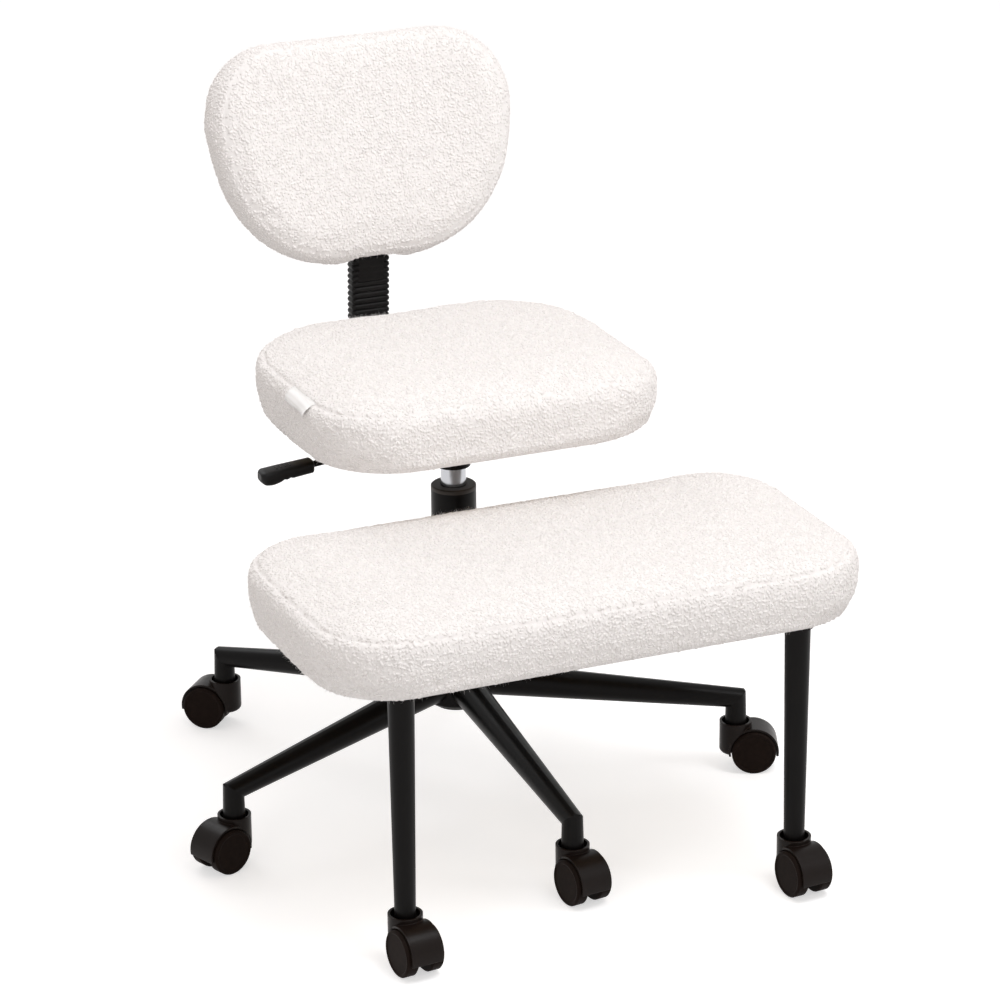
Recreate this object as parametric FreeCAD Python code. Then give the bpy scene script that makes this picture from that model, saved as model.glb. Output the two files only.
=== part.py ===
"""Cross-legged office chair: a swivel seat with a low back, and a wide leg platform that circles the column.

Millimetres. +Z is up, the sitter faces -Y, and the origin is where the column's axis meets the floor.
Each piece is written to parts/NAME.step.
"""

import FreeCAD
import Part
import math
import os

V = FreeCAD.Vector
UP = V(0, 0, 1)
RIGHT = V(1, 0, 0)
REAR = V(0, 1, 0)

# Fits
RUNNING_GAP = 0.05          # radial gap of a shaft that turns or slides in its bore
FACE_GAP = 0.4              # gap between flat faces that turn past each other
SLIDE_GAP = 0.25            # gap round a bar that slides in a guide
PANEL_GAP = 1.0             # gap between neighbouring pieces that never touch

# Twin-wheel casters
WHEEL_RADIUS = 25.0
WHEEL_WIDTH = 14.0
WHEEL_BEVEL = 1.6           # rounded rim of each wheel
WHEEL_DISH = 0.8            # depth of the shallow dish in a wheel's outer face
WHEEL_LIP = 3.0             # width of the flat lip round the dish
CASTER_TRAIL = 20.0         # axle's offset from the swivel axis
CASTER_WEB = 14.0           # thickness of the web between the two wheels
CASTER_WEB_RADIUS = 17.0
CASTER_NECK_WALL = 2.6      # neck round the recess for the leg
CASTER_NECK_RISE = 4.6      # neck's rim above the top of the fender
CASTER_NECK_EDGE = 5.0      # rounding of the neck's foot
CASTER_CUP_ROOM = 4.2       # recess in the neck, round the end of the leg
CASTER_CUP_DEPTH = 8.0
FENDER_WALL = 2.4
FENDER_WIDTH = 35.0
FENDER_SKIRT = 5.0          # how far the fender reaches below the axle
STEM_RADIUS = 5.5
STEM_ENGAGEMENT = 22.0      # length of stem inside the leg
STEM_FLANGE_RIM = 2.5
STEM_FLANGE = 2.0
AXLE_RADIUS = 4.0
AXLE_CAP = 2.5              # material left outside the axle's end in a wheel
SOCKET_WALL = 3.5           # plastic socket pressed into a leg's end
SOCKET_ROOM = 3.0           # depth of socket beyond the end of the stem

# Five-star base
BASE_LEGS = 5
BASE_FIRST_ANGLE = 270.0    # one leg points to the front
BASE_RADIUS = 316.0         # column axis to caster axis
HUB_HEIGHT = 58.0
HUB_DROP = 28.0             # hub's lower face below the legs' common centre
HUB_EDGE = 3.0
LEG_ROOT_RADIUS = 19.5      # tapered tube at the hub
LEG_TIP_RADIUS = 11.4       # tapered tube where it is mitred to its turned-down end
LEG_RISE = 42.5             # climb of the tube's centre line from the caster to the column
LEG_DROP = 33.1             # length of the turned-down end
LEG_WALL = 1.8
LEG_TIP_EDGE = 1.8          # depth ground off the mitre's outer corner
BASE_CASTER_TURN = (8.0, -5.0, 6.0, 12.0, 3.0)   # each caster's turn from straight outwards, in degrees

# Gas column
COLUMN_RADIUS = 25.0
COLUMN_WALL = 2.5
COLUMN_LENGTH = 261.0       # from the tube's foot to the top of its bush
COLUMN_TAPER = 1.0          # radius lost over the part that sits in the hub
COLUMN_END_PLATE = 3.0
COLUMN_OVERHANG = 4.0       # length that shows below the hub
BUSH_FLANGE = 5.0
BUSH_LENGTH = 62.0
BUSH_EDGE = 1.2
CYLINDER_RADIUS = 14.0
CYLINDER_WALL = 1.3
CYLINDER_CLEAR = 44.0       # cylinder's foot above the tube's foot
CYLINDER_SHOWN = 22.0       # chromed length between the bush and the seat
CYLINDER_GLAND = 12.0
CYLINDER_TAPER = 0.7        # radius lost over the part that sits in the seat socket
CYLINDER_PLUG = 26.0
ROD_RADIUS = 5.0
ROD_COLLAR_RADIUS = 11.0
ROD_COLLAR = 4.0
PISTON_REST = 122.0         # piston's top face above the cylinder's foot
PISTON_LENGTH = 12.0
BALL_RADIUS = 2.5
BALL_COUNT = 8
BALL_CIRCLE = 8.2
RACE_THICKNESS = 2.0
CLIP_THICKNESS = 1.5
CLIP_RADIUS = 9.0
CLIP_GROOVE = 1.0
CLIP_SLOT = 3.0

# Cushion edges
CUSHION_TUCK = 24.0         # underside drawn in from the widest outline
CUSHION_TUCK_RISE = 36.0    # height over which it is drawn in
CUSHION_EDGE = 20.0         # soft top edge, inwards
CUSHION_EDGE_DROP = 15.0    # and downwards
CUSHION_CROWN_REACH = 78.0  # crown's flat middle inside the widest outline
CUSHION_LEAST_CORNER = 3.0
SEAM_DEPTH = 1.8            # groove of the sewn seam on the soft top edge
SEAM_SPREAD = 14.0          # degrees of that edge that each side of the groove takes

# Seat
SEAT_THICKNESS = 73.0       # up to the top edge, before the crown
SEAT_CROWN = 8.0
SEAT_HALF_WIDTH = 202.0
SEAT_HALF_DEPTH = 176.0
SEAT_CENTRE_Y = 8.0
SEAT_FRONT_RADIUS = 86.0
SEAT_REAR_RADIUS = 130.0
SEAT_CORNER_TUCK = 28.0     # underside's corners rounder than the widest outline's
SEAT_SEAM_TURN = 50.0       # degrees round the soft top edge, from upright, where the seam is sewn
SEAT_BOARD_INSET = 28.0
SEAT_BOARD = 12.0

# Seat plate with the column socket
PLATE_THICKNESS = 4.0
PLATE_HALF_WIDTH = 90.0
PLATE_FRONT = -75.0
PLATE_REAR_RIM = 8.0        # plate behind the strap
PLATE_CORNER = 14.0
HOUSING_HALF = 38.0
HOUSING_HEIGHT = 33.0
HOUSING_WALL = 2.5
HOUSING_CORNER = 9.0
SOCKET_TUBE_RADIUS = 19.0
SOCKET_TUBE_LENGTH = 32.0
SOCKET_TUBE_INSIDE = 14.0   # part of the socket tube inside the housing
BOLT_RADIUS = 3.0
BOLT_HEAD_RADIUS = 6.5
BOLT_HEAD = 4.0
BOLT_HEAD_EDGE = 1.5
BOLT_COVER = 2.0            # board left above a bolt's end
PLATE_BOLT_X = 75.0
PLATE_BOLT_Y = 58.0

# Height lever and the valve that it presses
VALVE_RADIUS = 4.0
VALVE_STANDOUT = 5.0
VALVE_LENGTH = 22.0
VALVE_TRAVEL = 2.0
LEVER_ROD_RADIUS = 3.5
LEVER_TIP_X = 7.0
LEVER_TIP_Y = 1.0
LEVER_SWEEP = 23.4          # how far the rod runs forwards over its length
LEVER_FALL = 10.6           # how far it falls over its length
LEVER_SLOT_MARGIN = 4.0
LEVER_PIVOT_INSET = 6.0     # pivot inside the housing's outer face
PIVOT_RADIUS = 2.5
EAR_THICKNESS = 3.0
EAR_HALF = 5.0
GRIP_STANDOUT = 32.0        # grip beyond the seat's side
GRIP_LENGTH = 62.0
GRIP_SOCKET = 34.0          # rod inside the grip
GRIP_INNER_HALF = (9.5, 5.4)     # half width and half height where the rod enters
GRIP_BELLY_HALF = (11.5, 7.2)     # half width and half height at the thickest part
GRIP_DROP = 1.0                   # how far the outer end hangs below the rod
GRIP_EDGE = 4.0

# Back bar, its ribbed boot and the knob that clamps it
BAR_WIDTH = 36.0
BAR_THICKNESS = 6.0
BAR_HEADROOM = 1.5          # flat part below the seat plate
BAR_STANDOFF = 66.5         # foot of the upright behind the seat
BAR_LEAN = 3.0              # upright leans this many degrees forwards
BAR_BEND = 28.0
BAR_KINK_RISE = 54.0        # the bar turns to follow the back this far above the seat's top edge
BAR_KINK_BEND = 60.0
BAR_TOP_RUN = 113.0         # length of bar above the kink
BAR_END = 9.0               # bar in front of its slot
DEPTH_IN = 24.0             # travel of the bar forwards
DEPTH_OUT = 12.0            # travel of the bar rearwards
DEPTH_CLEAR = 10.0          # bar's end behind the housing at the end of its travel
BOOT_ABOVE_BEND = 7.5
BOOT_PITCH = 6.9
BOOT_SIDE_WALL = 3.0        # boot beside the bar
BOOT_FACE_WALL = 5.0        # boot in front of and behind the bar
BOOT_RIB = 2.0
BOOT_CORNER = 4.0
BOOT_PANEL_RIBS = 4         # ribs covered by the smooth panel at the top
BOOT_PANEL_HALF = 15.5
BOOT_PANEL_SINK = 0.2       # panel's face below the rib tips
KNOB_RADIUS = 15.5
KNOB_HEIGHT = 15.0
KNOB_NECK = 12.0            # stud showing between the knob and the channel
KNOB_LOBES = 6
KNOB_SCALLOP = 6.0
KNOB_SCALLOP_BITE = 2.0
KNOB_EDGE = 1.2
KNOB_STUD_RADIUS = 4.0
STRAP_THICKNESS = 3.0
STRAP_HALF_LENGTH = 16.0
RAIL_WALL = 3.5

# Backrest
BACK_ABOVE_KINK = 113.5     # pad's middle above the bar's kink, along the bar
BACK_BAR_OFFSET = 6.0       # bar behind the pad's middle
BACK_TILT = 15.5            # degrees backwards
BACK_HALF_HEIGHT = 125.5
BACK_TOP_HALF = 202.0       # half widths of the outline's straight sides, carried to the top and bottom
BACK_BOTTOM_HALF = 154.0
BACK_TOP_RADIUS = 88.0
BACK_BOTTOM_RADIUS = 140.0
BACK_THICKNESS = 60.0
BACK_CURVE = 790.0          # radius of the concave front, seen from above
BACK_FRONT_SHARE = 1 / 3    # share of the thickness that the rim's rounding towards the sitter takes
BACK_REAR_SHARE = 8 / 15    # and the rounding away from the sitter
BACK_LEAST_EDGE = 2.0
BACK_BOARD = 8.0
BACK_BOARD_SIDE = 25.0      # board inside the outline's lower width
BACK_BOARD_RIM = 40.0       # board inside the pad's top and bottom
BACK_BOARD_CORNER = 50.0
GUIDE_WALL = 2.0            # moulding in front of the bar
GUIDE_SIDE_WALL = 12.0      # moulding beside the bar
GUIDE_REAR_WALL = 10.5      # and behind it
GUIDE_LENGTH = 128.0
GUIDE_ABOVE_BEND = 3.5      # guide's mouth above the end of the kink
GUIDE_SCREW_EDGE = 6.0      # screw's axis inside the guide's side
GUIDE_SCREW_INSET = 16.0
SCREW_RADIUS = 2.5
SCREW_HEAD_RADIUS = 5.0
SCREW_HEAD = 2.5
SCREW_BITE = 12.0
POCKET_MARGIN = 5.0         # room round the boot where it enters the pad

# Leg platform
STOOL_DROP = 55.0           # platform's underside below the top of the column's bush
STOOL_THICKNESS = 74.0
STOOL_CROWN = 6.0
STOOL_HALF_WIDTH = 308.0
STOOL_HALF_DEPTH = 165.0
STOOL_CLEAR = 107.0         # platform's rear edge from the column axis
STOOL_CORNER = 88.0
STOOL_CORNER_TUCK = 12.0
STOOL_SEAM_TURN = 40.0
STOOL_BOARD_INSET = 25.0
STOOL_BOARD = 15.0
STOOL_LEG_SIDE = 86.0       # leg's centre inside the platform's end
STOOL_LEG_FRONT = 43.0      # leg's centre behind the platform's front
STOOL_LEG_TOP_RADIUS = 13.7
STOOL_LEG_FOOT_RADIUS = 11.0
STOOL_CASTER_TURN = (-84.0, -85.0)   # left and right, degrees from +X
FLANGE_RADIUS = 17.0
FLANGE_THICKNESS = 4.0
ARM_HALF_WIDTH = 20.0
ARM_HEIGHT = 20.0
ARM_WALL = 2.0
ARM_REACH = 245.0           # arm's length under the platform
ARM_BOLTS = 3
ARM_BOLT_INSET = 22.0
ARM_BOLT_SPACING = 90.0
COLLAR_WALL = 5.5
COLLAR_HEIGHT = 35.0
COLLAR_BUSH_WALL = 3.0
COLLAR_BUSH_FLANGE = 2.0
STOP_COLLAR_WALL = 8.0
STOP_COLLAR_HEIGHT = 12.0
STOP_COLLAR_EDGE = 1.5
STOP_COLLAR_SLIT = 2.0

# Heights and places that follow, from the floor up
AXLE_HEIGHT = WHEEL_RADIUS
WHEEL_INNER = CASTER_WEB / 2 + FACE_GAP
WHEEL_OUTER = WHEEL_INNER + WHEEL_WIDTH
POCKET_RADIUS = WHEEL_RADIUS + PANEL_GAP
FENDER_RADIUS = POCKET_RADIUS + FENDER_WALL
FENDER_BOTTOM = AXLE_HEIGHT - FENDER_SKIRT
CASTER_TOP = AXLE_HEIGHT + FENDER_RADIUS + CASTER_NECK_RISE
CUP_FLOOR = CASTER_TOP - CASTER_CUP_DEPTH
CASTER_CUP_RADIUS = LEG_TIP_RADIUS + CASTER_CUP_ROOM
CASTER_NECK_RADIUS = CASTER_CUP_RADIUS + CASTER_NECK_WALL
STEM_FLANGE_RADIUS = STEM_RADIUS + STEM_FLANGE_RIM
SOCKET_RADIUS = STEM_RADIUS + SOCKET_WALL
STEM_FOOT = AXLE_HEIGHT + AXLE_RADIUS + PANEL_GAP
LEG_END = CUP_FLOOR + STEM_FLANGE + FACE_GAP
SOCKET_LENGTH = STEM_ENGAGEMENT + SOCKET_ROOM
LEG_TIP_HEIGHT = LEG_END + LEG_DROP
LEG_ROOT_HEIGHT = LEG_TIP_HEIGHT + LEG_RISE
HUB_RADIUS = LEG_ROOT_RADIUS / math.sin(math.pi / BASE_LEGS)
HUB_BOTTOM = LEG_ROOT_HEIGHT - HUB_DROP
HUB_TOP = HUB_BOTTOM + HUB_HEIGHT
COLUMN_BOTTOM = HUB_BOTTOM - COLUMN_OVERHANG
COLUMN_TOP = COLUMN_BOTTOM + COLUMN_LENGTH
COLUMN_BORE = COLUMN_RADIUS - COLUMN_WALL
TUBE_TOP = COLUMN_TOP - BUSH_FLANGE
TUBE_FLOOR = COLUMN_BOTTOM + COLUMN_END_PLATE
CLIP_BOTTOM = COLUMN_BOTTOM - FACE_GAP - CLIP_THICKNESS
CYLINDER_BORE = CYLINDER_RADIUS - CYLINDER_WALL
CYLINDER_BOTTOM = COLUMN_BOTTOM + CYLINDER_CLEAR
PISTON_TOP = CYLINDER_BOTTOM + PISTON_REST
SOCKET_TUBE_BOTTOM = COLUMN_TOP + CYLINDER_SHOWN
CYLINDER_TOP = SOCKET_TUBE_BOTTOM + SOCKET_TUBE_LENGTH
HOUSING_BOTTOM = CYLINDER_TOP - SOCKET_TUBE_INSIDE
PLATE_BOTTOM = HOUSING_BOTTOM + HOUSING_HEIGHT
SEAT_BOTTOM = PLATE_BOTTOM + PLATE_THICKNESS
SEAT_SIDE_TOP = SEAT_BOTTOM + SEAT_THICKNESS
VALVE_TOP = CYLINDER_TOP + VALVE_STANDOUT
GRIP_OUTER_X = -(SEAT_HALF_WIDTH + GRIP_STANDOUT)
GRIP_INNER_X = GRIP_OUTER_X + GRIP_LENGTH
LEVER_TIP = V(LEVER_TIP_X, LEVER_TIP_Y, VALVE_TOP + PANEL_GAP + LEVER_ROD_RADIUS)
LEVER_END = V(GRIP_INNER_X - GRIP_SOCKET, LEVER_TIP_Y - LEVER_SWEEP, LEVER_TIP.z - LEVER_FALL)
LEVER_PIVOT_X = LEVER_PIVOT_INSET - HOUSING_HALF
BAR_LEVEL = PLATE_BOTTOM - BAR_HEADROOM - BAR_THICKNESS / 2
BAR_TOP_FACE = BAR_LEVEL + BAR_THICKNESS / 2
BAR_SLOT_HALF = KNOB_STUD_RADIUS + PANEL_GAP
BAR_FRONT = HOUSING_HALF + DEPTH_CLEAR + DEPTH_IN
BAR_SLOT_FRONT = BAR_FRONT + BAR_END + BAR_SLOT_HALF
BAR_UPRIGHT_Y = SEAT_CENTRE_Y + SEAT_HALF_DEPTH + BAR_STANDOFF
BAR_KINK = SEAT_SIDE_TOP + BAR_KINK_RISE
KINK_REACH = BAR_KINK_BEND * math.tan(math.radians(BACK_TILT + BAR_LEAN) / 2)
BOOT_BOTTOM = BAR_LEVEL + BAR_BEND + BOOT_ABOVE_BEND
BOOT_HALF_WIDTH = BAR_WIDTH / 2 + BOOT_SIDE_WALL
BOOT_HALF_DEPTH = BAR_THICKNESS / 2 + BOOT_FACE_WALL
BOOT_RIBS = int((BAR_KINK - KINK_REACH - BOOT_BOTTOM) / BOOT_PITCH)
KNOB_Y = BAR_SLOT_FRONT + DEPTH_OUT
STRAP_TOP = BAR_LEVEL - BAR_THICKNESS / 2 - SLIDE_GAP
STRAP_BOTTOM = STRAP_TOP - STRAP_THICKNESS
RAIL_INNER = BAR_WIDTH / 2 + SLIDE_GAP
KNOB_TOP = STRAP_BOTTOM - KNOB_NECK
PLATE_REAR = KNOB_Y + STRAP_HALF_LENGTH + PLATE_REAR_RIM
BACK_BOARD_REAR = BACK_BAR_OFFSET - BAR_THICKNESS / 2 - SLIDE_GAP - GUIDE_WALL
BACK_BOARD_FRONT = BACK_BOARD_REAR - BACK_BOARD
BACK_FRONT_EDGE = BACK_THICKNESS * BACK_FRONT_SHARE
BACK_REAR_EDGE = BACK_THICKNESS * BACK_REAR_SHARE
GUIDE_HALF_WIDTH = BAR_WIDTH / 2 + GUIDE_SIDE_WALL
GUIDE_DEPTH = GUIDE_WALL + BAR_THICKNESS + 2 * SLIDE_GAP + GUIDE_REAR_WALL
GUIDE_SCREW_X = GUIDE_HALF_WIDTH - GUIDE_SCREW_EDGE
GUIDE_LOW = KINK_REACH + GUIDE_ABOVE_BEND - BACK_ABOVE_KINK
GUIDE_HIGH = GUIDE_LOW + GUIDE_LENGTH
STOOL_BOTTOM = COLUMN_TOP - STOOL_DROP
STOOL_SIDE_TOP = STOOL_BOTTOM + STOOL_THICKNESS
STOOL_CENTRE_Y = -(STOOL_CLEAR + STOOL_HALF_DEPTH)
STOOL_LEG_X = STOOL_HALF_WIDTH - STOOL_LEG_SIDE
STOOL_LEG_Y = STOOL_CENTRE_Y - STOOL_HALF_DEPTH + STOOL_LEG_FRONT
STOOL_LEG_TOP = STOOL_BOTTOM - FLANGE_THICKNESS
ARM_BOTTOM = STOOL_BOTTOM - ARM_HEIGHT
ARM_FRONT = -(STOOL_CLEAR + ARM_REACH)
COLLAR_BORE = COLUMN_RADIUS + RUNNING_GAP + COLLAR_BUSH_WALL
COLLAR_RADIUS = COLLAR_BORE + COLLAR_WALL
COLLAR_BOTTOM = STOOL_BOTTOM - COLLAR_HEIGHT
BUSH_BOTTOM = COLLAR_BOTTOM - COLLAR_BUSH_FLANGE


def save(name, *solids):
    """Writes one node from one or more separate solids."""
    shape = solids[0] if len(solids) == 1 else Part.makeCompound(list(solids))
    shape.exportStep(os.path.join("parts", name + ".step"))


def cylinder(radius, low, high, x=0.0, y=0.0):
    """Upright cylinder between two heights."""
    return Part.makeCylinder(radius, high - low, V(x, y, low), UP)


def cone(low_radius, high_radius, low, high, x=0.0, y=0.0):
    """Upright cone between two heights."""
    return Part.makeCone(low_radius, high_radius, high - low, V(x, y, low), UP)


def box(low, high):
    """Box between two corners, each given as three numbers."""
    size = [high[k] - low[k] for k in range(3)]
    return Part.makeBox(size[0], size[1], size[2], V(*low))


def turned(profile):
    """Solid of revolution about Z from (radius, height) points."""
    points = [V(r, 0, z) for r, z in profile]
    face = Part.Face(Part.makePolygon(points + points[:1]))
    return face.revolve(V(0, 0, 0), UP, 360)


def arc(start, middle, end):
    return Part.Arc(start, middle, end).toShape()


def line(start, end):
    return Part.LineSegment(start, end).toShape()


def outline(half_width, half_depth, front_radius, rear_radius, z, centre_y=0.0):
    """Rounded rectangle at one height, with its own radius at the front and at the rear."""
    corners = ((-1, -1, front_radius), (1, -1, front_radius), (1, 1, rear_radius), (-1, 1, rear_radius))
    arcs = []
    for side, end, radius in corners:
        centre = V(side * (half_width - radius), centre_y + end * (half_depth - radius), z)
        diagonal = radius / math.sqrt(2)
        along_x = centre + V(side * radius, 0, 0)
        along_y = centre + V(0, end * radius, 0)
        middle = centre + V(side * diagonal, end * diagonal, 0)
        first, last = (along_x, along_y) if side * end > 0 else (along_y, along_x)
        arcs.append((first, middle, last))
    edges = []
    for i, (first, middle, last) in enumerate(arcs):
        edges.append(arc(first, middle, last))
        edges.append(line(last, arcs[(i + 1) % len(arcs)][0]))
    return Part.Wire(edges)


def edges_at(shape, z):
    """Edges that lie flat at one height."""
    return [e for e in shape.Edges if abs(e.BoundBox.ZMin - z) < 0.01 and abs(e.BoundBox.ZMax - z) < 0.01]


def prism(wire, height):
    return Part.Face(wire).extrude(V(0, 0, height))


def cushion_profile(bottom, side_top, crown, seam_turn):
    """Rows of inset from the widest outline, share of the corner tuck, and height, from the underside up."""
    quarter = [math.radians(a) for a in (0.0, 22.5, 45.0, 67.5, 90.0)]
    rows = []
    for a in quarter:
        share = 1 - math.sin(a)
        rows.append((CUSHION_TUCK * share, share, bottom + CUSHION_TUCK_RISE * (1 - math.cos(a))))
    before = seam_turn - SEAM_SPREAD
    turns = ((0.0, 0.0), (before / 2, 0.0), (before, 0.0), (seam_turn, SEAM_DEPTH),
             (seam_turn + SEAM_SPREAD, 0.0), (90.0, 0.0))
    for turn, sunk in turns:
        a = math.radians(turn)
        inset = CUSHION_EDGE * (1 - math.cos(a)) + sunk * math.cos(a)
        rows.append((inset, 0.0, side_top - CUSHION_EDGE_DROP * (1 - math.sin(a)) - sunk * math.sin(a)))
    for a in quarter[1:]:
        inset = CUSHION_EDGE + (CUSHION_CROWN_REACH - CUSHION_EDGE) * a / quarter[-1]
        rows.append((inset, 0.0, side_top + crown * math.sin(a)))
    return rows


def cushion(profile, half_width, half_depth, front_radius, rear_radius, corner_tuck, centre_y):
    """Loft of rounded rectangles, each drawn in from the widest outline by its inset."""
    wires = []
    for inset, share, z in profile:
        change = corner_tuck * share - inset
        front = max(front_radius + change, CUSHION_LEAST_CORNER)
        rear = max(rear_radius + change, CUSHION_LEAST_CORNER)
        wires.append(outline(half_width - inset, half_depth - inset, front, rear, z, centre_y))
    return Part.makeLoft(wires, True, True)


def ring_of(count, radius, phase=0.0):
    """Points spread evenly round the Z axis, as (angle in degrees, x, y)."""
    for i in range(count):
        angle = phase + i * 360.0 / count
        turn = math.radians(angle)
        yield angle, radius * math.cos(turn), radius * math.sin(turn)


# Casters: built at the origin with the trail along +X and the axle along Y, then turned and moved


def caster_hood():
    """Moulded fender over both wheels, with the web that holds the axle and the neck that holds the stem."""
    fender_side = V(CASTER_TRAIL, -FENDER_WIDTH / 2, AXLE_HEIGHT)
    fender = Part.makeCylinder(FENDER_RADIUS, FENDER_WIDTH, fender_side, REAR)
    reach = CASTER_TRAIL + FENDER_RADIUS
    fender = fender.cut(box((-reach, -FENDER_WIDTH, -reach), (reach, FENDER_WIDTH, FENDER_BOTTOM)))
    web_side = V(CASTER_TRAIL, -CASTER_WEB / 2, AXLE_HEIGHT)
    web = Part.makeCylinder(CASTER_WEB_RADIUS, CASTER_WEB, web_side, REAR)
    neck = cylinder(CASTER_NECK_RADIUS, FENDER_BOTTOM, CASTER_TOP)
    neck = neck.makeFillet(CASTER_NECK_EDGE, edges_at(neck, FENDER_BOTTOM))
    hood = fender.fuse([web, neck]).removeSplitter()
    for side in (-1, 1):
        start = V(CASTER_TRAIL, side * CASTER_WEB / 2, AXLE_HEIGHT)
        hood = hood.cut(Part.makeCylinder(POCKET_RADIUS, FENDER_WIDTH, start, REAR * side))
    hood = hood.cut(cylinder(CASTER_CUP_RADIUS, CUP_FLOOR, CASTER_TOP + 1))
    hood = hood.cut(cylinder(STEM_RADIUS, STEM_FOOT, CASTER_TOP))
    axle_start = V(CASTER_TRAIL, -FENDER_WIDTH, AXLE_HEIGHT)
    return hood.cut(Part.makeCylinder(AXLE_RADIUS, 2 * FENDER_WIDTH, axle_start, REAR))


def caster_pins():
    """Steel stem with its flange, and the axle pressed through the web."""
    top = LEG_END + STEM_ENGAGEMENT
    stem = cylinder(STEM_RADIUS, STEM_FOOT, top)
    stem = stem.makeChamfer(PANEL_GAP, edges_at(stem, top))
    flange = cylinder(STEM_FLANGE_RADIUS, CUP_FLOOR, CUP_FLOOR + STEM_FLANGE)
    half = WHEEL_OUTER - AXLE_CAP
    axle = Part.makeCylinder(AXLE_RADIUS, 2 * half, V(CASTER_TRAIL, -half, AXLE_HEIGHT), REAR)
    return stem.fuse(flange).removeSplitter(), axle


def caster_wheel(side):
    """One moulded wheel: soft rim, shallow dish outside, blind bore that runs on the axle."""
    bore = AXLE_RADIUS + RUNNING_GAP
    rim = WHEEL_RADIUS
    dish_radius = rim - WHEEL_LIP
    soft = 0.45 * WHEEL_BEVEL
    blind = WHEEL_OUTER - AXLE_CAP + RUNNING_GAP
    wheel = turned((
        (bore, WHEEL_INNER),
        (rim - WHEEL_BEVEL, WHEEL_INNER),
        (rim, WHEEL_INNER + WHEEL_BEVEL),
        (rim, WHEEL_OUTER - WHEEL_BEVEL),
        (rim - soft, WHEEL_OUTER - soft),
        (rim - WHEEL_BEVEL, WHEEL_OUTER),
        (dish_radius, WHEEL_OUTER),
        (dish_radius - 2 * WHEEL_DISH, WHEEL_OUTER - WHEEL_DISH),
        (0.0, WHEEL_OUTER - WHEEL_DISH),
        (0.0, blind),
        (bore, blind),
    ))
    wheel.rotate(V(0, 0, 0), RIGHT, -90 * side)
    wheel.translate(V(CASTER_TRAIL, 0, AXLE_HEIGHT))
    return wheel


def place_caster(number, x, y, turn):
    """Writes one caster's three nodes at its place."""

    def placed(shape):
        copy = shape.copy()
        copy.rotate(V(0, 0, 0), UP, turn)
        copy.translate(V(x, y, 0))
        return copy

    name = "caster_%d" % number
    save(name + "_hood", placed(caster_hood()))
    save(name + "_pins", *[placed(pin) for pin in caster_pins()])
    save(name + "_wheels", placed(caster_wheel(-1)), placed(caster_wheel(1)))


def caster_socket(x, y):
    """Plastic sleeve in a leg's end that the stem turns in."""
    sleeve = cylinder(SOCKET_RADIUS, LEG_END, LEG_END + SOCKET_LENGTH, x, y)
    return sleeve.cut(cylinder(STEM_RADIUS + RUNNING_GAP, LEG_END - 1, LEG_END + STEM_ENGAGEMENT + 1, x, y))


# Five-star base


def column_taper(low, high):
    """The column's tapered foot between two heights."""

    def radius(z):
        return COLUMN_RADIUS - COLUMN_TAPER * (HUB_TOP - z) / (HUB_TOP - COLUMN_BOTTOM)

    return cone(radius(low), radius(high), low, high)


def base_hub():
    hub = turned((
        (0.0, HUB_BOTTOM),
        (HUB_RADIUS - HUB_EDGE, HUB_BOTTOM),
        (HUB_RADIUS, HUB_BOTTOM + HUB_EDGE),
        (HUB_RADIUS, HUB_TOP - HUB_EDGE),
        (HUB_RADIUS - HUB_EDGE, HUB_TOP),
        (0.0, HUB_TOP),
    ))
    return hub.cut(column_taper(HUB_BOTTOM, HUB_TOP))


def half_space(point, normal, size):
    """Large block on the side of a plane that the normal points to."""
    turn = FreeCAD.Rotation(UP, normal)
    block = Part.makeBox(2 * size, 2 * size, size, V(-size, -size, 0))
    block.Placement = FreeCAD.Placement(point, turn)
    return block


def base_leg(angle):
    """Tapered tube from the hub, mitred to a short tube that turns down to the caster."""
    root = V(0, 0, LEG_ROOT_HEIGHT)
    corner = V(BASE_RADIUS, 0, LEG_TIP_HEIGHT)
    along = corner - root
    run = along.Length
    along.normalize()
    beyond = 2 * LEG_TIP_RADIUS
    slope = (LEG_ROOT_RADIUS - LEG_TIP_RADIUS) / run
    end_radius = LEG_TIP_RADIUS - slope * beyond

    def tube(trim):
        return Part.makeCone(LEG_ROOT_RADIUS - trim, end_radius - trim, run + beyond, root, along)

    through = along - UP
    foot_radius = LEG_TIP_RADIUS + slope * LEG_DROP
    drop = cone(foot_radius, end_radius, LEG_END, LEG_TIP_HEIGHT + beyond, BASE_RADIUS)
    drop = drop.cut(half_space(corner, through * -1, 2 * run))
    leg = tube(0.0).cut(half_space(corner, through, 2 * run)).fuse(drop).removeSplitter()
    tip = RIGHT + V(-along.z, 0, along.x)
    tip.normalize()
    ground = LEG_TIP_RADIUS / tip.dot(RIGHT) - LEG_TIP_EDGE
    leg = leg.cut(half_space(corner + tip * ground, tip, 2 * run))
    inside = tube(LEG_WALL).cut(half_space(corner - along * beyond, along, 2 * run))
    leg = leg.cut(inside)
    leg = leg.cut(cylinder(SOCKET_RADIUS, LEG_END - 1, LEG_END + SOCKET_LENGTH, BASE_RADIUS))
    leg = leg.cut(cylinder(HUB_RADIUS, 0, LEG_ROOT_HEIGHT + HUB_HEIGHT))
    leg.rotate(V(0, 0, 0), UP, angle)
    return leg


def build_base():
    save("base_hub", base_hub())
    sockets = []
    number = 0
    for angle, x, y in ring_of(BASE_LEGS, BASE_RADIUS, BASE_FIRST_ANGLE):
        turn = BASE_CASTER_TURN[number]
        number += 1
        save("base_leg_%d" % number, base_leg(angle))
        sockets.append(caster_socket(x, y))
        place_caster(number, x, y, angle + turn)
    save("base_sockets", *sockets)


# Gas column


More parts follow.
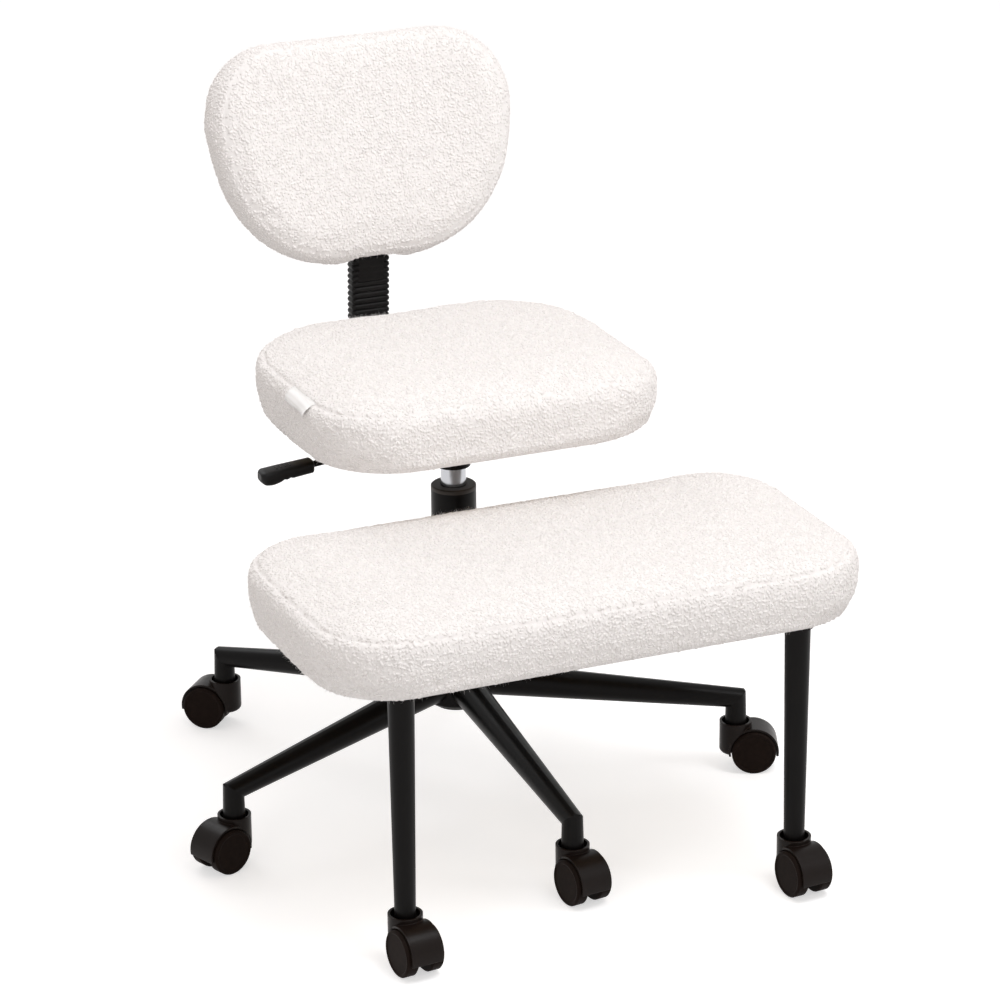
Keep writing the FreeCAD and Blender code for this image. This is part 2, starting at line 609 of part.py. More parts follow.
def column_tube():
    """Painted outer tube with its tapered foot and a floor for the bearing."""
    straight = cylinder(COLUMN_RADIUS, HUB_TOP, TUBE_TOP)
    tube = column_taper(COLUMN_BOTTOM, HUB_TOP).fuse(straight).removeSplitter()
    tube = tube.cut(cylinder(COLUMN_BORE - COLUMN_TAPER, TUBE_FLOOR, HUB_TOP))
    tube = tube.cut(cylinder(COLUMN_BORE, HUB_TOP, TUBE_TOP))
    return tube.cut(cylinder(ROD_RADIUS + RUNNING_GAP, COLUMN_BOTTOM, TUBE_FLOOR))


def column_bush():
    """Plastic guide that the chromed cylinder slides in, with the flange that caps the tube."""
    bore = CYLINDER_RADIUS + RUNNING_GAP
    return turned((
        (bore, TUBE_TOP - BUSH_LENGTH),
        (COLUMN_BORE, TUBE_TOP - BUSH_LENGTH),
        (COLUMN_BORE, TUBE_TOP),
        (COLUMN_RADIUS, TUBE_TOP),
        (COLUMN_RADIUS, COLUMN_TOP - BUSH_EDGE),
        (COLUMN_RADIUS - BUSH_EDGE, COLUMN_TOP),
        (bore + BUSH_EDGE, COLUMN_TOP),
        (bore, COLUMN_TOP - BUSH_EDGE),
    ))


def thrust_bearing():
    """Lower race and its ring of balls, on the floor of the tube."""
    race_top = TUBE_FLOOR + RACE_THICKNESS
    race = cylinder(ROD_COLLAR_RADIUS, TUBE_FLOOR, race_top)
    race = race.cut(cylinder(ROD_RADIUS + RUNNING_GAP, TUBE_FLOOR, race_top))
    balls = []
    for _, x, y in ring_of(BALL_COUNT, BALL_CIRCLE):
        balls.append(Part.makeSphere(BALL_RADIUS, V(x, y, race_top + BALL_RADIUS)))
    return [race] + balls


def piston_rod():
    """Rod that stands on the bearing, held by a clip below and carrying the piston inside the cylinder."""
    collar_low = TUBE_FLOOR + RACE_THICKNESS + 2 * BALL_RADIUS + RUNNING_GAP
    rod = cylinder(ROD_RADIUS, CLIP_BOTTOM - CLIP_THICKNESS, PISTON_TOP)
    collar = cylinder(ROD_COLLAR_RADIUS, collar_low, collar_low + ROD_COLLAR)
    piston = cylinder(CYLINDER_BORE - RUNNING_GAP, PISTON_TOP - PISTON_LENGTH, PISTON_TOP)
    groove_top = CLIP_BOTTOM + CLIP_THICKNESS
    groove = cylinder(2 * ROD_RADIUS, CLIP_BOTTOM, groove_top)
    groove = groove.cut(cylinder(ROD_RADIUS - CLIP_GROOVE, CLIP_BOTTOM, groove_top))
    return rod.fuse([collar, piston]).removeSplitter().cut(groove)


def column_clip():
    """Spring clip in the rod's groove, under the tube."""
    top = CLIP_BOTTOM + CLIP_THICKNESS
    clip = cylinder(CLIP_RADIUS, CLIP_BOTTOM, top)
    clip = clip.cut(cylinder(ROD_RADIUS - CLIP_GROOVE, CLIP_BOTTOM, top))
    return clip.cut(box((-2 * CLIP_RADIUS, -CLIP_SLOT / 2, CLIP_BOTTOM), (0, CLIP_SLOT / 2, top)))


def cylinder_taper():
    """Tapered top of the chromed cylinder, which the seat's socket fits."""
    return cone(CYLINDER_RADIUS, CYLINDER_RADIUS - CYLINDER_TAPER, SOCKET_TUBE_BOTTOM, CYLINDER_TOP)


def gas_cylinder():
    """Chromed pressure tube: gland round the rod below, plug with the valve above."""
    tube = cylinder(CYLINDER_RADIUS, CYLINDER_BOTTOM, SOCKET_TUBE_BOTTOM)
    tube = tube.fuse(cylinder_taper()).removeSplitter()
    gland_top = CYLINDER_BOTTOM + CYLINDER_GLAND
    tube = tube.cut(cylinder(CYLINDER_BORE, gland_top, CYLINDER_TOP - CYLINDER_PLUG))
    tube = tube.cut(cylinder(ROD_RADIUS + RUNNING_GAP, CYLINDER_BOTTOM, gland_top))
    valve_floor = VALVE_TOP - VALVE_LENGTH - VALVE_TRAVEL - FACE_GAP
    return tube.cut(cylinder(VALVE_RADIUS + RUNNING_GAP, valve_floor, CYLINDER_TOP))


def valve_pin():
    pin = cylinder(VALVE_RADIUS, VALVE_TOP - VALVE_LENGTH, VALVE_TOP)
    return pin.makeFillet(VALVE_RADIUS / 4, edges_at(pin, VALVE_TOP))


def build_column():
    save("column_tube", column_tube())
    save("column_bush", column_bush())
    save("thrust_bearing", *thrust_bearing())
    save("piston_rod", piston_rod())
    save("column_clip", column_clip())
    save("gas_cylinder", gas_cylinder())
    save("valve_pin", valve_pin())


# Seat


def seat_bolt_places():
    for x in (-PLATE_BOLT_X, PLATE_BOLT_X):
        for y in (-PLATE_BOLT_Y, PLATE_BOLT_Y):
            yield x, y


def seat_board():
    """Plywood base of the seat, drilled for the plate's bolts."""
    inset = SEAT_BOARD_INSET
    change = SEAT_CORNER_TUCK - inset
    wire = outline(SEAT_HALF_WIDTH - inset, SEAT_HALF_DEPTH - inset, SEAT_FRONT_RADIUS + change,
                   SEAT_REAR_RADIUS + change, SEAT_BOTTOM, SEAT_CENTRE_Y)
    return prism(wire, SEAT_BOARD)


def bolt(under, top, x, y):
    """Round-headed bolt whose head is below a surface."""
    low = under - BOLT_HEAD
    head = cylinder(BOLT_HEAD_RADIUS, low, under, x, y)
    head = head.makeFillet(BOLT_HEAD_EDGE, edges_at(head, low))
    return head.fuse(cylinder(BOLT_RADIUS, under, top, x, y)).removeSplitter()


def seat_bolts():
    bolts = []
    for x, y in seat_bolt_places():
        bolts.append(bolt(PLATE_BOTTOM, SEAT_BOTTOM + SEAT_BOARD - BOLT_COVER, x, y))
    return bolts


def lever_line(x):
    """Point on the lever rod's centre line."""
    share = (x - LEVER_TIP.x) / (LEVER_END.x - LEVER_TIP.x)
    return LEVER_TIP + (LEVER_END - LEVER_TIP) * share


def pivot_pin(grow, beyond):
    """Cross pin that the lever turns on, grown in radius and in length at each end."""
    centre = lever_line(LEVER_PIVOT_X)
    half = LEVER_ROD_RADIUS + PANEL_GAP + EAR_THICKNESS + beyond
    return Part.makeCylinder(PIVOT_RADIUS + grow, 2 * half, centre - REAR * half, REAR)


def lever_ears():
    """Two lugs under the plate, one each side of the rod, that hold the cross pin."""
    centre = lever_line(LEVER_PIVOT_X)
    near = LEVER_ROD_RADIUS + PANEL_GAP
    ears = []
    for side in (-1, 1):
        start = min(side * near, side * (near + EAR_THICKNESS))
        ears.append(box((centre.x - EAR_HALF, centre.y + start, centre.z - EAR_HALF),
                        (centre.x + EAR_HALF, centre.y + start + EAR_THICKNESS, PLATE_BOTTOM)))
    return ears


def seat_plate():
    """Steel plate with a box round the valve, a socket for the cylinder and a channel for the back bar."""
    middle_y = (PLATE_FRONT + PLATE_REAR) / 2
    half_y = (PLATE_REAR - PLATE_FRONT) / 2
    plate = prism(outline(PLATE_HALF_WIDTH, half_y, PLATE_CORNER, PLATE_CORNER, PLATE_BOTTOM, middle_y),
                  PLATE_THICKNESS)
    half = HOUSING_HALF
    inner = half - HOUSING_WALL
    corner = HOUSING_CORNER
    inner_corner = corner - HOUSING_WALL
    housing = prism(outline(half, half, corner, corner, HOUSING_BOTTOM), HOUSING_HEIGHT)
    hollow = outline(inner, inner, inner_corner, inner_corner, HOUSING_BOTTOM + HOUSING_WALL)
    housing = housing.cut(prism(hollow, HOUSING_HEIGHT))
    socket = cylinder(SOCKET_TUBE_RADIUS, SOCKET_TUBE_BOTTOM, CYLINDER_TOP)
    rails = []
    for side in (-1, 1):
        near = min(side * RAIL_INNER, side * (RAIL_INNER + RAIL_WALL))
        rails.append(box((near, half, STRAP_BOTTOM), (near + RAIL_WALL, PLATE_REAR, PLATE_BOTTOM)))
    strap_half = RAIL_INNER + RAIL_WALL
    strap = box((-strap_half, KNOB_Y - STRAP_HALF_LENGTH, STRAP_BOTTOM),
                (strap_half, KNOB_Y + STRAP_HALF_LENGTH, STRAP_TOP))
    gate = lever_line(-half)
    margin = LEVER_ROD_RADIUS + LEVER_SLOT_MARGIN
    housing = housing.cut(box((-half, gate.y - margin, gate.z - margin),
                              (-inner, gate.y + margin, gate.z + margin)))
    whole = plate.fuse([housing, socket, strap] + rails + lever_ears()).removeSplitter()
    whole = whole.cut(cylinder_taper())
    whole = whole.cut(cylinder(KNOB_STUD_RADIUS + RUNNING_GAP, STRAP_BOTTOM, STRAP_TOP, 0, KNOB_Y))
    whole = whole.cut(pivot_pin(RUNNING_GAP, 2 * EAR_THICKNESS))
    for x, y in seat_bolt_places():
        whole = whole.cut(cylinder(BOLT_RADIUS, PLATE_BOTTOM, SEAT_BOTTOM, x, y))
    return whole


def lever_rod():
    """Round rod with its cross pin."""
    direction = LEVER_END - LEVER_TIP
    rod = Part.makeCylinder(LEVER_ROD_RADIUS, direction.Length, LEVER_TIP, direction)
    return rod.fuse(pivot_pin(0.0, 0.0)).removeSplitter()


def grip_section(x, half_width, half_height, drop):
    """Rounded rectangle across the lever at one distance from the column."""
    centre = lever_line(x) - V(0, 0, drop)
    corner = min(GRIP_EDGE, 0.8 * half_height, 0.8 * half_width)
    wire = outline(half_height, half_width, corner, corner, 0.0)
    wire.rotate(V(0, 0, 0), REAR, 90)
    wire.translate(V(x, centre.y, centre.z))
    return wire


def lever_grip():
    """Moulded paddle on the rod's outer end."""
    inner_w, inner_h = GRIP_INNER_HALF
    belly_w, belly_h = GRIP_BELLY_HALF
    length = GRIP_INNER_X - GRIP_OUTER_X
    stations = (
        (0.0, 0.86, 0.0, 0.0),
        (0.04, 1.0, 0.0, 0.0),
        (0.45, 1.0, 0.35, 0.25),
        (0.72, 1.0, 1.0, 0.75),
        (0.92, 0.93, 0.9, 0.95),
        (0.98, 0.80, 0.8, 1.0),
        (1.0, 0.62, 0.7, 1.0),
    )
    wires = []
    for share, scale, swell, drop in stations:
        half_w = (inner_w + (belly_w - inner_w) * swell) * scale
        half_h = (inner_h + (belly_h - inner_h) * swell) * scale
        wires.append(grip_section(GRIP_INNER_X - length * share, half_w, half_h, GRIP_DROP * drop))
    return Part.makeLoft(wires, True, True).cut(lever_rod())


def build_seat():
    bolts = seat_bolts()
    board = seat_board()
    for fastener in bolts:
        board = board.cut(fastener)
    profile = cushion_profile(SEAT_BOTTOM, SEAT_SIDE_TOP, SEAT_CROWN, SEAT_SEAM_TURN)
    pad = cushion(profile, SEAT_HALF_WIDTH, SEAT_HALF_DEPTH, SEAT_FRONT_RADIUS, SEAT_REAR_RADIUS,
                  SEAT_CORNER_TUCK, SEAT_CENTRE_Y)
    save("seat_cushion", pad.cut(seat_board()))
    save("seat_board", board)
    save("seat_plate", seat_plate())
    save("seat_bolts", *bolts)
    save("lever_rod", lever_rod())
    save("lever_grip", lever_grip())


# Back bar


def back_direction():
    """Unit vector up along the backrest."""
    tilt = math.radians(BACK_TILT)
    return V(0, math.sin(tilt), math.cos(tilt))


def bent_path(points, radii):
    """Wire through points, with an arc of the given radius at each inner point."""
    edges = []
    at = points[0]
    for i in range(1, len(points) - 1):
        back = (points[i - 1] - points[i]).normalize()
        on = (points[i + 1] - points[i]).normalize()
        half = back.getAngle(on) / 2
        reach = radii[i - 1] / math.tan(half)
        centre = points[i] + (back + on).normalize() * (radii[i - 1] / math.sin(half))
        start = points[i] + back * reach
        end = points[i] + on * reach
        middle = centre + (points[i] - centre).normalize() * radii[i - 1]
        edges.append(line(at, start))
        edges.append(arc(start, middle, end))
        at = end
    edges.append(line(at, points[-1]))
    return Part.Wire(edges)


def bar_upright(z):
    """Point on the upright's centre line at a height."""
    lean = math.tan(math.radians(BAR_LEAN))
    return V(0, BAR_UPRIGHT_Y - (z - BAR_LEVEL) * lean, z)


def back_bar():
    """Flat steel bar: along under the seat, up behind it, then in line with the backrest."""
    kink = bar_upright(BAR_KINK)
    points = [V(0, BAR_FRONT, BAR_LEVEL), bar_upright(BAR_LEVEL), kink, kink + back_direction() * BAR_TOP_RUN]
    path = bent_path(points, [BAR_BEND, BAR_KINK_BEND])
    half_w = BAR_WIDTH / 2
    half_t = BAR_THICKNESS / 2
    corners = [V(-half_w, BAR_FRONT, BAR_LEVEL - half_t), V(half_w, BAR_FRONT, BAR_LEVEL - half_t),
               V(half_w, BAR_FRONT, BAR_LEVEL + half_t), V(-half_w, BAR_FRONT, BAR_LEVEL + half_t)]
    section = Part.makePolygon(corners + corners[:1])
    bar = path.makePipeShell([section], True, False)
    low = BAR_LEVEL - BAR_THICKNESS
    high = BAR_LEVEL + BAR_THICKNESS
    slot_rear = BAR_SLOT_FRONT + DEPTH_OUT + DEPTH_IN
    slot = box((-BAR_SLOT_HALF, BAR_SLOT_FRONT, low), (BAR_SLOT_HALF, slot_rear, high))
    for y in (BAR_SLOT_FRONT, slot_rear):
        slot = slot.fuse(cylinder(BAR_SLOT_HALF, low, high, 0, y))
    return bar.cut(slot)


def bar_boot():
    """Ribbed sleeve on the upright, with a smooth panel at the top of its front."""
    wires = []
    core_w = BOOT_HALF_WIDTH
    core_d = BOOT_HALF_DEPTH
    rise = ((0.0, 0.0), (0.22, 0.75), (0.5, 1.0), (0.78, 0.75))
    for rib in range(BOOT_RIBS):
        for share, height in rise:
            grow = BOOT_RIB * height
            level = (rib + share) * BOOT_PITCH
            wires.append(outline(core_w + grow, core_d + grow, BOOT_CORNER, BOOT_CORNER, level))
    wires.append(outline(core_w, core_d, BOOT_CORNER, BOOT_CORNER, BOOT_RIBS * BOOT_PITCH))
    boot = Part.makeLoft(wires, True, True)
    panel_low = (BOOT_RIBS - BOOT_PANEL_RIBS) * BOOT_PITCH
    panel_face = BOOT_HALF_DEPTH + BOOT_RIB - BOOT_PANEL_SINK
    panel = box((-BOOT_PANEL_HALF, -panel_face, panel_low), (BOOT_PANEL_HALF, 0, BOOT_RIBS * BOOT_PITCH))
    boot = boot.fuse(panel).removeSplitter()
    bore = box((-BAR_WIDTH / 2, -BAR_THICKNESS / 2, 0),
               (BAR_WIDTH / 2, BAR_THICKNESS / 2, BOOT_RIBS * BOOT_PITCH))
    boot = boot.cut(bore)
    boot.rotate(V(0, 0, 0), RIGHT, BAR_LEAN)
    boot.translate(bar_upright(BOOT_BOTTOM))
    return boot


def depth_knob():
    """Lobed hand knob whose stud clamps the bar in the plate's channel."""
    low = KNOB_TOP - KNOB_HEIGHT
    head = cylinder(KNOB_RADIUS, low, KNOB_TOP)
    for _, x, y in ring_of(KNOB_LOBES, KNOB_RADIUS + KNOB_SCALLOP - KNOB_SCALLOP_BITE):
        head = head.cut(cylinder(KNOB_SCALLOP, low, KNOB_TOP, x, y))
    head = head.makeFillet(KNOB_EDGE, edges_at(head, low))
    stud = cylinder(KNOB_STUD_RADIUS, KNOB_TOP, BAR_TOP_FACE - PANEL_GAP)
    knob = head.fuse(stud).removeSplitter()
    knob.translate(V(0, KNOB_Y, 0))
    return knob


# Backrest: built upright at the origin with its front to -Y, then tilted and moved


def back_half_width(w):
    """Half width of the outline at a height above its middle."""
    height = BACK_HALF_HEIGHT
    slope = (BACK_TOP_HALF - BACK_BOTTOM_HALF) / (2 * height)
    stretch = math.sqrt(1 + slope * slope)

    def side(level):
        return (BACK_TOP_HALF + BACK_BOTTOM_HALF) / 2 + slope * level

    top_level = height - BACK_TOP_RADIUS
    low_level = -height + BACK_BOTTOM_RADIUS
    top_tangent = top_level - BACK_TOP_RADIUS * slope / stretch
    low_tangent = low_level - BACK_BOTTOM_RADIUS * slope / stretch
    if w > top_tangent:
        centre = side(top_level) - BACK_TOP_RADIUS * stretch
        return centre + math.sqrt(max(0.0, BACK_TOP_RADIUS ** 2 - (w - top_level) ** 2))
    if w < low_tangent:
        centre = side(low_level) - BACK_BOTTOM_RADIUS * stretch
        return centre + math.sqrt(max(0.0, BACK_BOTTOM_RADIUS ** 2 - (w - low_level) ** 2))
    return side(w)


def back_section(w):
    """Curved band across the pad at one height, with soft corners, thinner near the top and bottom rims."""
    reach = back_half_width(w) / BACK_CURVE
    faces = []
    for edge in (BACK_FRONT_EDGE, BACK_REAR_EDGE):
        short = max(0.0, edge - BACK_HALF_HEIGHT + abs(w))
        lost = edge - math.sqrt(max(0.0, edge ** 2 - short ** 2))
        faces.append((BACK_THICKNESS / 2 - lost, max(edge - lost, BACK_LEAST_EDGE)))
    (front, front_corner), (rear, rear_corner) = faces

    def at(angle, offset, side):
        radius = BACK_CURVE + offset
        return V(side * radius * math.sin(angle), radius * math.cos(angle) - BACK_CURVE, w)

    def soft_corner(side, face, corner):
        """Three points of the arc from a broad face, at its signed offset, to the side."""
        step = -1 if face > 0 else 1
        soft = corner * (1 - math.sqrt(0.5))
        return (at(reach - corner / BACK_CURVE, face, side),
                at(reach - soft / BACK_CURVE, face + step * soft, side),
                at(reach, face + step * corner, side))

    front_right = soft_corner(1, -front, front_corner)
    rear_right = soft_corner(1, rear, rear_corner)
    front_left = soft_corner(-1, -front, front_corner)
    rear_left = soft_corner(-1, rear, rear_corner)
    return Part.Wire([
        arc(front_left[0], at(0, -front, 1), front_right[0]),
        arc(*front_right),
        line(front_right[2], rear_right[2]),
        arc(*reversed(rear_right)),
        arc(rear_right[0], at(0, rear, 1), rear_left[0]),
        arc(*rear_left),
        line(rear_left[2], front_left[2]),
        arc(*reversed(front_left)),
    ])


def tilted(shape):
    """Leans a piece of the backrest and sets it on the bar's upper run."""
    shape.rotate(V(0, 0, 0), RIGHT, -BACK_TILT)
    rearwards = back_direction().cross(RIGHT)
    centre = bar_upright(BAR_KINK) + back_direction() * BACK_ABOVE_KINK - rearwards * BACK_BAR_OFFSET
    shape.translate(centre)
    return shape


def guide_block(grow):
    """Outer block of the bar guide, from the board's rear face backwards."""
    return box((-GUIDE_HALF_WIDTH - grow, BACK_BOARD_REAR, GUIDE_LOW - grow),
               (GUIDE_HALF_WIDTH + grow, BACK_BOARD_REAR + GUIDE_DEPTH + grow, GUIDE_HIGH + grow))


def bar_guide():
    """Moulded guide in the pad that slides on the bar."""
    half_w = BAR_WIDTH / 2 + SLIDE_GAP
    half_t = BAR_THICKNESS / 2 + SLIDE_GAP
    way = box((-half_w, BACK_BAR_OFFSET - half_t, GUIDE_LOW), (half_w, BACK_BAR_OFFSET + half_t, GUIDE_HIGH))
    return guide_block(0.0).cut(way)


def board_blank():
    half_w = BACK_BOTTOM_HALF - BACK_BOARD_SIDE
    half_h = BACK_HALF_HEIGHT - BACK_BOARD_RIM
    wire = outline(half_w, half_h, BACK_BOARD_CORNER, BACK_BOARD_CORNER, 0.0)
    board = prism(wire, BACK_BOARD)
    board.rotate(V(0, 0, 0), RIGHT, 90)
    board.translate(V(0, BACK_BOARD_REAR, 0))
    return board


def back_screws():
    """Screws through the board into the guide, two high and two low."""
    front = BACK_BOARD_FRONT
    screws = []
    for w in (GUIDE_LOW + GUIDE_SCREW_INSET, GUIDE_HIGH - GUIDE_SCREW_INSET):
        for x in (-GUIDE_SCREW_X, GUIDE_SCREW_X):
            head = Part.makeCylinder(SCREW_HEAD_RADIUS, SCREW_HEAD, V(x, front - SCREW_HEAD, w), REAR)
            shank = Part.makeCylinder(SCREW_RADIUS, BACK_BOARD + SCREW_BITE, V(x, front, w), REAR)
            screws.append(head.fuse(shank).removeSplitter())
    return screws


def back_cushion():
    """Upholstered pad with pockets for its board and guide, and a mouth below for the bar and boot."""
    height = BACK_HALF_HEIGHT
    rims = (0.0, 1.5, 5.0, 11.0, 19.0, 28.0, 38.0, 58.0, 88.0)
    levels = [r - height for r in rims] + [0.0] + [height - r for r in reversed(rims)]
    pad = Part.makeLoft([back_section(w) for w in levels], True, True)
    pad = pad.cut(board_blank()).cut(guide_block(PANEL_GAP))
    for screw in back_screws():
        pad = pad.cut(screw)
    mouth_w = BOOT_HALF_WIDTH + BOOT_RIB + POCKET_MARGIN
    mouth_t = BOOT_HALF_DEPTH + BOOT_RIB + POCKET_MARGIN
    lean = (height - BACK_ABOVE_KINK) * math.tan(math.radians(BACK_TILT + BAR_LEAN))
    return pad.cut(box((-mouth_w, BACK_BAR_OFFSET - mouth_t, -2 * height),
                       (mouth_w, BACK_BAR_OFFSET + mouth_t + lean, GUIDE_LOW)))


def build_back():
    save("back_bar", back_bar())
    save("bar_boot", bar_boot())
    save("depth_knob", depth_knob())
    screws = back_screws()
    board = board_blank()
    guide = bar_guide()
    for screw in screws:
        board = board.cut(screw)
        guide = guide.cut(screw)
    save("back_cushion", tilted(back_cushion()))
    save("back_board", tilted(board))
    save("bar_guide", tilted(guide))
    save("back_screws", *[tilted(screw) for screw in screws])


# Leg platform


def stool_board():
    inset = STOOL_BOARD_INSET
    corner = STOOL_CORNER + STOOL_CORNER_TUCK - inset
    wire = outline(STOOL_HALF_WIDTH - inset, STOOL_HALF_DEPTH - inset, corner, corner,
                   STOOL_BOTTOM, STOOL_CENTRE_Y)
    return prism(wire, STOOL_BOARD)


def stool_leg(x):
    """Tapered tube with a bore for the caster's socket."""
    leg = cone(STOOL_LEG_FOOT_RADIUS, STOOL_LEG_TOP_RADIUS, LEG_END, STOOL_LEG_TOP, x, STOOL_LEG_Y)
    hollow = cone(STOOL_LEG_FOOT_RADIUS - LEG_WALL, STOOL_LEG_TOP_RADIUS - LEG_WALL, LEG_END, STOOL_LEG_TOP,
                  x, STOOL_LEG_Y)
    hollow = hollow.cut(cylinder(2 * STOOL_LEG_TOP_RADIUS, 0, LEG_END + SOCKET_LENGTH, x, STOOL_LEG_Y))
    return leg.cut(hollow).cut(cylinder(SOCKET_RADIUS, LEG_END - 1, LEG_END + SOCKET_LENGTH, x, STOOL_LEG_Y))


def stool_arm():
    """Square tube that carries the platform's rear on the column."""
    low = ARM_BOTTOM
    arm = box((-ARM_HALF_WIDTH, ARM_FRONT, low), (ARM_HALF_WIDTH, 0, STOOL_BOTTOM))
    wall = ARM_WALL
    arm = arm.cut(box((-ARM_HALF_WIDTH + wall, ARM_FRONT + wall, low + wall),
                      (ARM_HALF_WIDTH - wall, 1, STOOL_BOTTOM - wall)))
    return arm.cut(cylinder(COLLAR_RADIUS, COLLAR_BOTTOM, STOOL_BOTTOM))


def arm_bolts():
    """Bolts up through the arm into the board."""
    bolts = []
    for i in range(ARM_BOLTS):
        y = ARM_FRONT + ARM_BOLT_INSET + i * ARM_BOLT_SPACING
        bolts.append(bolt(ARM_BOTTOM, STOOL_BOTTOM + STOOL_BOARD - BOLT_COVER, 0, y))
    return bolts


def swivel_collar():
    """Steel ring on the arm's end."""
    ring = cylinder(COLLAR_RADIUS, COLLAR_BOTTOM, STOOL_BOTTOM)
    return ring.cut(cylinder(COLLAR_BORE, COLLAR_BOTTOM, STOOL_BOTTOM))


def collar_bush():
    """Flanged nylon bush between the ring and the column."""
    bore = COLUMN_RADIUS + RUNNING_GAP
    return turned((
        (bore, BUSH_BOTTOM),
        (COLLAR_RADIUS, BUSH_BOTTOM),
        (COLLAR_RADIUS, COLLAR_BOTTOM),
        (COLLAR_BORE, COLLAR_BOTTOM),
        (COLLAR_BORE, STOOL_BOTTOM),
        (bore, STOOL_BOTTOM),
    ))


def stop_collar():
    """Ring clamped on the column, which the bush rests and turns on."""
    top = BUSH_BOTTOM - FACE_GAP
    edge = STOP_COLLAR_EDGE
    low = top - STOP_COLLAR_HEIGHT
    outer = COLUMN_RADIUS + STOP_COLLAR_WALL
    ring = turned(((COLUMN_RADIUS, low), (outer - edge, low), (outer, low + edge), (outer, top - edge),
                   (outer - edge, top), (COLUMN_RADIUS, top)))
    return ring.cut(box((-STOP_COLLAR_SLIT / 2, 0, low), (STOP_COLLAR_SLIT / 2, 2 * outer, top)))


def build_stool():
    bolts = arm_bolts()
    leg_bolts = []
    flanges = []
    sockets = []
    board = stool_board()
    for number, (name, side) in enumerate((("left", -1), ("right", 1))):
        x = side * STOOL_LEG_X
        save("stool_leg_" + name, stool_leg(x))
        own = bolt(STOOL_LEG_TOP, STOOL_BOTTOM + STOOL_BOARD - BOLT_COVER, x, STOOL_LEG_Y)
        leg_bolts.append(own)
        flanges.append(cylinder(FLANGE_RADIUS, STOOL_LEG_TOP, STOOL_BOTTOM, x, STOOL_LEG_Y).cut(own))
        sockets.append(caster_socket(x, STOOL_LEG_Y))
        place_caster(BASE_LEGS + 1 + number, x, STOOL_LEG_Y, STOOL_CASTER_TURN[number])
    arm = stool_arm()
    for fastener in bolts:
        arm = arm.cut(fastener)
    for fastener in bolts + leg_bolts:
        board = board.cut(fastener)
    profile = cushion_profile(STOOL_BOTTOM, STOOL_SIDE_TOP, STOOL_CROWN, STOOL_SEAM_TURN)
    pad = cushion(profile, STOOL_HALF_WIDTH, STOOL_HALF_DEPTH, STOOL_CORNER, STOOL_CORNER,
                  STOOL_CORNER_TUCK, STOOL_CENTRE_Y)
    save("stool_cushion", pad.cut(stool_board()))
    save("stool_board", board)
    save("stool_arm", arm)
    save("arm_bolts", *bolts)
    save("leg_flanges", *flanges)
    save("leg_bolts", *leg_bolts)
    save("stool_sockets", *sockets)
    save("swivel_collar", swivel_collar())
    save("collar_bush", collar_bush())
    save("stop_collar", stop_collar())


os.makedirs("parts", exist_ok=True)
build_base()
build_column()
build_seat()
build_back()
build_stool()
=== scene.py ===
"""Cross-legged office chair in off-white fleece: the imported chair's finishes, cushions, light and camera."""
import math

import bmesh
import bpy
import numpy as np
from mathutils import Matrix, Vector


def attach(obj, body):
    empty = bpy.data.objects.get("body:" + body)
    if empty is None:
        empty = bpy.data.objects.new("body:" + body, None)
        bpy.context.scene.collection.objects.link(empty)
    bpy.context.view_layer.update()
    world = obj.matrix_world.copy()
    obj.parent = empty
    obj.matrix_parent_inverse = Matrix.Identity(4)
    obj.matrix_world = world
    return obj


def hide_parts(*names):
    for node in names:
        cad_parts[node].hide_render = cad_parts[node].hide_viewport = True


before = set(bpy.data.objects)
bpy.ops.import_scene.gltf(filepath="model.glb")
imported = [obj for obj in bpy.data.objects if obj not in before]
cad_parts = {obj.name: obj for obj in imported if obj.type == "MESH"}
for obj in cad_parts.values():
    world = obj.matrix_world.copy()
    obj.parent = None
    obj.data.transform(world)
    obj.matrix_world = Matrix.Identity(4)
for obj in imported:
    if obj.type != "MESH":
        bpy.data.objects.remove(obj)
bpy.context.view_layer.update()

# Five-star base: a welded hub and five tapered legs, bent down at their ends, with the column tube in it.
# Mild steel tube, blasted and powder coated black, which gives a satin skin with a faint orange peel.


def linear(colour):
    """Linear colour of an sRGB hex value."""
    parts = [int(colour[i:i + 2], 16) / 255 for i in (1, 3, 5)]
    return [c / 12.92 if c <= 0.04045 else ((c + 0.055) / 1.055) ** 2.4 for c in parts] + [1.0]


def add_node(tree, kind, inputs=None, **settings):
    """A new node with its settings, and its inputs set to values or linked to sockets."""
    node = tree.nodes.new(kind)
    for key, value in settings.items():
        setattr(node, key, value)
    for key, value in (inputs or {}).items():
        if isinstance(value, bpy.types.NodeSocket):
            tree.links.new(value, node.inputs[key])
        else:
            node.inputs[key].default_value = value
    return node


def new_material(name):
    """An empty node material, its tree and the place of a point on the piece."""
    material = bpy.data.materials.new(name)
    material.use_nodes = True
    material.node_tree.nodes.clear()
    place = add_node(material.node_tree, "ShaderNodeTexCoord").outputs["Object"]
    return material, material.node_tree, place


def finish_nodes(material, *names):
    """Gives CAD nodes a material."""
    for name in names:
        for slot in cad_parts[name].material_slots:
            slot.material = material


